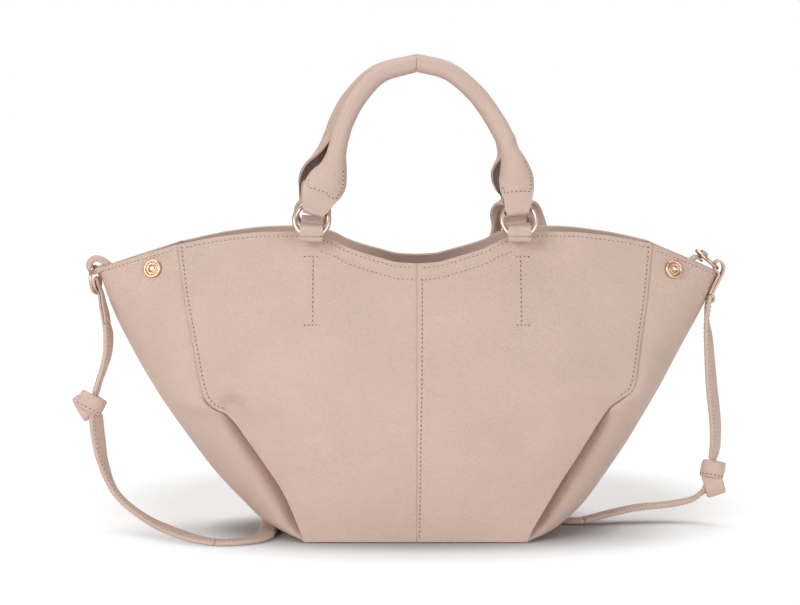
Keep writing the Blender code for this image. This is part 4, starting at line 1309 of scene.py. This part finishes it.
def handle_tab_path(face, side, front):
    """The tab's leather: from its tail inside the bag over the rim, round the ring and up behind it."""
    sign = -1 if side == "left" else 1
    centre_x = RING_X[face][side]
    inset = LEATHER + GAP + TAB_TAIL_EASE + TAB_LEATHER / 2
    centres, widths = [], []
    for level in np.linspace(TAB_TAIL_FOOT, TAB_TAIL_TOP, 5):
        height = level * rim_height(abs(centre_x))
        here = abs(centre_x) / panel_edge(height, sign)
        point = panel_point(here, level, sign, inset)
        point[0] = centre_x
        step = panel_point(here + 0.02, level, sign, inset) - panel_point(here - 0.02, level, sign, inset)
        centres.append(point)
        widths.append(unit(step * sign))
    half = TAB_LEATHER / 2
    front_y = -RING_HINGE_Y - TAB_FRONT_ROOM - half
    back_y = -RING_HINGE_Y + TAB_BACK_ROOM + half
    foot = RING_HINGE_Z - RING_WIRE - GAP - half
    top = TAB_TOP - half
    rim = rim_height(abs(centre_x))
    inner_y = centres[-1][1]
    loop = [
        (inner_y, rim + 1), (inner_y - 1, rim + 3.2), (back_y + 1.5, rim + 6), (back_y - 2.5, top - 0.5),
        (back_y - 5.5, top), (front_y + 1.3, top - 1.8), (front_y, top - 5), (front_y, foot + 3.2),
        (front_y + 1, foot + 0.9), (front_y + 3.4, foot), (back_y - 2.2, foot), (back_y - 0.5, foot + 0.9),
        (back_y, foot + 3), (back_y, rim + 3.2),
    ]
    tail_across = widths[-1]
    for index, (y, z) in enumerate(loop):
        centres.append(np.array([centre_x, y, z]))
        straight = min(max((index - 1) / 3, 0), 1)
        widths.append(unit(mix(tail_across, np.array([1.0, 0, 0]), straight)))
    both = smooth_path(np.hstack([np.array(centres), np.array(widths)]), 5)
    mirror = np.array([1, front, 1])
    return both[:, :3] * mirror, both[:, 3:] * mirror


# Hardware


def torus(name, centre, normal, radius, wire, look, body, *nodes):
    bpy.ops.mesh.primitive_torus_add(major_radius=radius * MM, minor_radius=wire * MM,
                                     major_segments=96, minor_segments=24)
    obj = bpy.context.active_object
    obj.name = name
    turn = Vector((0, 0, 1)).rotation_difference(Vector(tuple(normal))).to_matrix().to_4x4()
    obj.data.transform(Matrix.Translation([value * MM for value in centre]) @ turn)
    obj.data.materials.append(LOOKS[look])
    for polygon in obj.data.polygons:
        polygon.use_smooth = True
    return dress(obj, body, "metal", *nodes)


def handle_rings():
    for face, front in (("front", 1), ("back", -1)):
        for side in ("left", "right"):
            centre = lean_point(RING_X[face][side], 0, -RING_RADIUS, front)
            facing = (0, -front * math.cos(LEAN), math.sin(LEAN))
            torus(f"{face}_ring_{side}", centre, facing, RING_RADIUS, RING_WIRE, "rose", f"{face}_rings",
                  f"{face}_handle_ring_{side}")


def turned(name, profile, place, facing, look, steps=64):
    """A turned piece: pairs of radius and height along the way it faces, from the axis out and back to it."""
    side = unit(np.cross(facing, [0.3, 0.1, 1]))
    other = np.cross(facing, side)
    rings = []
    for radius, height in profile:
        radius = max(radius, 0.001)
        middle = np.array(place) + np.array(facing) * height
        rings.append([middle + (side * math.cos(turn) + other * math.sin(turn)) * radius
                      for turn in circle(steps)])
    points, faces = loft(rings)
    return add_object(name, points, faces, [look])


def arc(centre, radius, start, end, count):
    """Pairs along an arc, its angles in degrees from the outward direction."""
    turns = np.radians(np.linspace(start, end, count))
    return [(centre[0] + radius * math.cos(turn), centre[1] + radius * math.sin(turn)) for turn in turns]


# Press studs in section: radius and height out from the leather
SOCKET_BOWL = [(0, 0.5), (1.9, 0.5), (2.2, 0.7), (2.3, 1.5), *arc((2.75, 1.9), 0.45, 180, 0, 9), (3.3, 0.9)]
STUD_POST = [(0, 3.5), (1.2, 3.5), *arc((1.4, 3.0), 0.6, 80, -20, 6), (1.9, 1.6), (2.3, 0.9), (3.3, 0.9)]
PRESS_RIM = [(3.9, 0.9), (4.3, 1.2), *arc((5.2, 1.2), 0.95, 160, 0, 12), (6.2, 0.35), (6.0, 0.2), (0, 0.2)]
PRESS_CAP = [(0, -3.1), (4.6, -3.1), (5.1, -2.9), (5.25, -2.5), (5.25, -2.1), (1.4, -2.1), (1.4, 0), (0, 0)]


def stud_place(side):
    """The place on a wing where its press stud sits, and the way the leather faces there."""
    sign = -1 if side == "left" else 1

    def off(angle):
        return abs(abs(wing_surface(sign, STUD_LEVEL, angle)[0]) - STUD_X[side])

    best = min(np.linspace(5, 85, 800), key=off)
    return wing_surface(sign, STUD_LEVEL, best), wing_normal(sign, STUD_LEVEL, best)


def press_studs():
    for side in ("left", "right"):
        place, facing = stud_place(side)
        for half, front, middle in (("socket", 1, SOCKET_BOWL), ("stud", -1, STUD_POST)):
            mirror = np.array([1, front, 1])
            at, out = place * mirror, facing * mirror
            obj = turned(f"{half}_{side}", middle + PRESS_RIM, at, out, "gold")
            dress(obj, "bag", "metal", f"press_{half}_{side}")
            obj = turned(f"cap_{half}_{side}", PRESS_CAP, at, out, "gold", 40)
            dress(obj, "bag", "metal", f"press_cap_{half}_{side}")


def doubled(plies, fold):
    """A strip that runs up one side of a line, through a fold and down the line's other side."""
    slope = unit(plies[-1] - plies[0])
    apart = np.array([slope[1], -slope[0]]) * (STRAP_PLY + GAP) / 2
    return [tuple(point + apart) for point in plies] + fold + [tuple(point - apart) for point in plies[::-1]]


def left_wing_hardware():
    down = np.array([math.sin(LEFT_RING_LEAN), 0, -math.cos(LEFT_RING_LEAN)])
    centre = np.array(LEFT_RING_TOP) + down * WING_RING_RADIUS
    facing = unit([math.cos(LEFT_RING_LEAN), LEFT_RING_TURN, math.sin(LEFT_RING_LEAN)])
    torus("strap_ring_left", centre, facing, WING_RING_RADIUS, WING_RING_WIRE, "gold", "left_wing_ring",
          "wing_ring_left")
    back = np.array([0, 1.0, 0])
    route = smooth_path(LEFT_TAB_ROUTE, 4)
    centres = [np.array([x, 0, z]) for x, z, _ in route]
    obj = band("tip_tab_left", centres, [back] * len(centres), route[:, 2], LEFT_TAB_LEATHER, "leather")
    dress(obj, "bag", "leather", "wing_tab_left")
    route = smooth_path(doubled(np.array(LEFT_PLIES, float), LEFT_FOLD), 5)
    low, high = LEFT_PLIES[1][1], LEFT_PLIES[-1][1]
    lifts = [ease(low, high, z) for _, z in route]
    centres = [np.array([x, LEFT_FOLD_BACK * lift, z]) for (x, z), lift in zip(route, lifts)]
    across = [unit(mix(np.array(STRAP_LEFT[0][1]), back, lift)) for lift in lifts]
    sizes = [mix(STRAP_WIDTH, LEFT_FOLD_WIDTH, lift) for lift in lifts]
    obj = band("end_loop_left", centres, across, sizes, STRAP_PLY, "strap")
    dress(obj, "left_wing_ring", "leather", "strap_end_left")


def right_wing_hardware():
    low = np.array([math.cos(RIGHT_RING_TILT), 0, -math.sin(RIGHT_RING_TILT)])
    normal = np.array([math.sin(RIGHT_RING_TILT), 0, math.cos(RIGHT_RING_TILT)])
    torus("strap_ring_right", RIGHT_RING_CENTRE, normal, WING_RING_RADIUS, WING_RING_WIRE, "gold",
          "right_wing_ring", "wing_ring_right")
    back = np.array([0, 1.0, 0])
    outward = low * math.cos(RIGHT_TAB_ANGLE) + back * math.sin(RIGHT_TAB_ANGLE)
    along = -low * math.sin(RIGHT_TAB_ANGLE) + back * math.cos(RIGHT_TAB_ANGLE)
    hinge = np.array(RIGHT_RING_CENTRE) + outward * WING_RING_RADIUS
    knots = list(RIGHT_TAB_FOOT)
    for turn in np.radians(RIGHT_TAB_TURNS):
        knots.append((hinge + RIGHT_TAB_LOOP * (outward * math.cos(turn) + normal * math.sin(turn)), along))
    both = smooth_path([[*place, *across] for place, across in knots], 4)
    obj = band("tip_tab_right", both[:, :3], both[:, 3:], RIGHT_TAB_WIDTH, WING_TAB_LEATHER, "leather")
    dress(obj, "bag", "leather", "wing_tab_right")
    route = RIGHT_LOBE + doubled(np.array(RIGHT_PLIES, float), RIGHT_FOLD)
    centres = [np.array([x, 0, z]) for x, z in smooth_path(route, 5)]
    obj = band("end_loop_right", centres, [back] * len(centres), STRAP_WIDTH, STRAP_PLY, "strap")
    dress(obj, "right_wing_ring", "leather", "strap_end_right")


# Strap


def strap_route():
    """The whole strap as one smooth line with its directions, cut where its three pieces meet."""
    knots = STRAP_LEFT + STRAP_MIDDLE[1:-1] + STRAP_RIGHT[::-1]
    values = smooth_path([[*place, *across] for place, across in knots], STRAP_STEPS)
    frames = band_frames(values[:, :3], values[:, 3:])
    first = (len(STRAP_LEFT) - 1) * STRAP_STEPS
    second = first + (len(STRAP_MIDDLE) - 1) * STRAP_STEPS
    return frames[:first + 1], frames[first:second + 1], frames[second:]


def strap_piece(name, frames):
    """A stretch of strap with a row of stitches along each face, pulled in where it runs through a knot."""
    tied = [np.array(turns[0][0]) for turns in KNOTS.values()]
    sizes = []
    for centre, _, _, _ in frames:
        near = min(np.linalg.norm(centre - place) for place in tied)
        sizes.append(mix(KNOT_PINCH, STRAP_WIDTH, ease(*KNOT_REACH, near)))
    obj = ribbon(name, frames, sizes, STRAP_THICKNESS, "strap")
    for face in (1, -1):
        line = [centre - across * (size / 2 - STRAP_STITCH) + up * face * (STRAP_THICKNESS / 2 + 0.02)
                for (centre, _, across, up), size in zip(frames, sizes)]
        stitch_row(name, line, [up * face for _, _, _, up in frames])
    stitches = sew(name, f"{name}_stitches")
    path = np.array([centre for centre, _, _, _ in frames])
    length = float(np.linalg.norm(np.diff(path, axis=0), axis=1).sum())
    return obj, stitches, path, length


def wrap(name, centre, along, across, radii, width, turns, drift):
    """A turn of the flat strap pulled tight: part of an ellipse that drifts along its width."""
    along, across = unit(along), unit(across)
    depth = np.cross(along, across)
    depth = depth * (-1 if depth[1] > 0 else 1)
    centres, widths = [], []
    for turn in np.radians(np.linspace(turns[0], turns[1], 56)):
        share = (math.degrees(turn) - turns[0]) / (turns[1] - turns[0])
        out = along * radii[0] * math.cos(turn) + depth * radii[1] * math.sin(turn)
        centres.append(np.array(centre, float) + out + across * drift * (2 * share - 1))
        widths.append(across)
    return band(name, centres, widths, width, STRAP_THICKNESS, "strap", 0.3), centres, across, depth


def knot(side, body, node):
    """An overhand knot: the cap turn with its stitched edge, and the turn that shows under it."""
    parts = []
    for index, (centre, along, across, radii, width, turns, drift) in enumerate(KNOTS[side]):
        name = f"{side}_turn_{index}"
        obj, centres, width_way, depth = wrap(name, centre, along, across, radii, width, turns, drift)
        parts.append(obj)
        if index == 0:
            arms = [place - np.array(centre) for place in centres]
            shown = [(place, unit(arm)) for place, arm in zip(centres, arms)
                     if np.dot(arm, depth) > KNOT_ROW_FROM * radii[1]]
            inward = width_way * (width / 2 - STRAP_STITCH)
            line = [place + out * (STRAP_THICKNESS / 2 + 0.15) - inward for place, out in shown]
            stitch_row(f"{side}_knot", line, [out for _, out in shown], look="dark")
    parts.append(sew(f"{side}_knot", f"{side}_knot_stitches"))
    return dress(join(parts, f"knot_{side}"), body, "leather", node)


def strap():
    first, second, third = strap_route()
    left, left_sewn, left_path, left_length = strap_piece("strap_left", first)
    middle, middle_sewn, middle_path, middle_length = strap_piece("strap_run", second)
    right, right_sewn, right_path, right_length = strap_piece("strap_right", third)
    right_path = right_path[::-1]
    dress_blend(left, left_sewn, "left_wing_ring", *LEFT_FOLLOWS, "strap_left_drop")
    dress_blend(right, right_sewn, "right_wing_ring", *RIGHT_FOLLOWS, "strap_right_drop")
    dress(middle, "bag", "leather", "strap_middle")
    dress(middle_sewn, "bag", "leather")
    left_knot = knot("left", "bag", "strap_knot_left")
    right_knot = knot("right", "bag", "strap_knot_right")


def dress_blend(obj, stitches, ring, low, high, node):
    """Bakes a strap piece and its stitches in place, and hides the solid that the piece stands for."""
    for piece in (obj, stitches):
        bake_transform(piece)
    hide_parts(node)


# Studio


def aimed(obj, place, target):
    obj.location = place
    obj.rotation_euler = (Vector(target) - obj.location).to_track_quat("-Z", "Y").to_euler()
    bpy.context.scene.collection.objects.link(obj)
    return obj


def photo_camera():
    data = bpy.data.cameras.new("photo_camera")
    data.lens = CAMERA_LENS
    data.sensor_width = 36
    data.clip_end = 20
    target = Vector(CAMERA_AIM) * MM
    back = Vector((0, -math.cos(CAMERA_ELEVATION), math.sin(CAMERA_ELEVATION))) * CAMERA_DISTANCE * MM
    bpy.context.scene.camera = aimed(bpy.data.objects.new("photo_camera", data), target + back, target)


def seen_apart(tree, output, others, camera):
    """One shader for the camera's own rays and another for the light that bounces."""
    path = tree.nodes.new("ShaderNodeLightPath")
    pick = tree.nodes.new("ShaderNodeMixShader")
    tree.links.new(path.outputs["Is Camera Ray"], pick.inputs[0])
    tree.links.new(others, pick.inputs[1])
    tree.links.new(camera, pick.inputs[2])
    tree.links.new(pick.outputs["Shader"], tree.nodes[output].inputs["Surface"])


def floor_fade(tree):
    """0 round the object and 1 outside the oval."""
    place = tree.nodes.new("ShaderNodeMapping")
    place.inputs["Location"].default_value = (0, -FLOOR_CENTRE / FLOOR_REACH[1], 0)
    place.inputs["Scale"].default_value = (1 / FLOOR_REACH[0], 1 / FLOOR_REACH[1], 1)
    tree.links.new(tree.nodes.new("ShaderNodeTexCoord").outputs["Object"], place.inputs["Vector"])
    reach = tree.nodes.new("ShaderNodeVectorMath")
    reach.operation = "LENGTH"
    tree.links.new(place.outputs["Vector"], reach.inputs[0])
    far = ramp(tree, reach.outputs["Value"], *FLOOR_FADE, 0, 1)
    far.node.interpolation_type = "SMOOTHSTEP"
    return far


def floor_material():
    """White paper. The camera sees its lit shade near the object, with a painted contact shade darkest close
    to it, and plain white beyond.
    """
    made = bpy.data.materials.new("floor_white")
    made.use_nodes = True
    tree = made.node_tree
    paper = tree.nodes["Principled BSDF"]
    paper.inputs["Base Color"].default_value = (FLOOR_WHITE, FLOOR_WHITE, FLOOR_WHITE, 1)
    paper.inputs["Roughness"].default_value = 0.9
    paper.inputs["Specular IOR Level"].default_value = 0
    # Painted contact shade: the floor's colour for the camera is darkened where the world round it is closed
    # off
    close = tree.nodes.new("ShaderNodeAmbientOcclusion")
    close.inputs["Distance"].default_value = CONTACT_REACH * MM
    shade = tree.nodes.new("ShaderNodeBsdfDiffuse")
    tone = ramp(tree, close.outputs["AO"], *CONTACT_SHARE, PAINTED_CONTACT_SHADE, FLOOR_SEEN)
    tree.links.new(tone, shade.inputs["Color"])
    white = tree.nodes.new("ShaderNodeEmission")
    white.inputs["Strength"].default_value = PLAIN_WHITE
    near = tree.nodes.new("ShaderNodeMixShader")
    tree.links.new(floor_fade(tree), near.inputs[0])
    tree.links.new(shade.outputs["BSDF"], near.inputs[1])
    tree.links.new(white.outputs["Emission"], near.inputs[2])
    seen_apart(tree, "Material Output", paper.outputs["BSDF"], near.outputs["Shader"])
    return made


def floor():
    bpy.ops.mesh.primitive_plane_add(size=FLOOR_SIZE, location=(0, 0, -FLOOR_DROP))
    plane = bpy.context.active_object
    plane.name = "floor"
    plane.data.materials.append(floor_material())


def world():
    made = bpy.data.worlds.new("studio")
    made.use_nodes = True
    bpy.context.scene.world = made
    tree = made.node_tree
    soft = tree.nodes["Background"]
    soft.inputs["Color"].default_value = WORLD_TONE
    soft.inputs["Strength"].default_value = WORLD_LIGHT
    white = tree.nodes.new("ShaderNodeBackground")
    white.inputs["Color"].default_value = (1, 1, 1, 1)
    white.inputs["Strength"].default_value = 1
    seen_apart(tree, "World Output", soft.outputs["Background"], white.outputs["Background"])


def lights():
    for name, place, size, power in LIGHTS:
        lamp = bpy.data.lights.new(name, "AREA")
        lamp.shape = "RECTANGLE"
        lamp.size, lamp.size_y = size
        lamp.energy = power
        aimed(bpy.data.objects.new(name, lamp), place, LIGHT_AIM)


photo_camera()
floor()
world()
lights()
bpy.context.scene.view_settings.view_transform = "Standard"
strap()
outer_panels()
outer_wings()
facings()
linings()
base()
handles()
cores()
handle_tabs()
handle_rings()
press_studs()
left_wing_hardware()
right_wing_hardware()
body_stitches()
dress(sew("bag", "bag_stitches"), "bag", "leather")
for helper in (STITCH, SMALL_HOLE, LARGE_HOLE):
    bpy.data.objects.remove(helper, do_unlink=True)
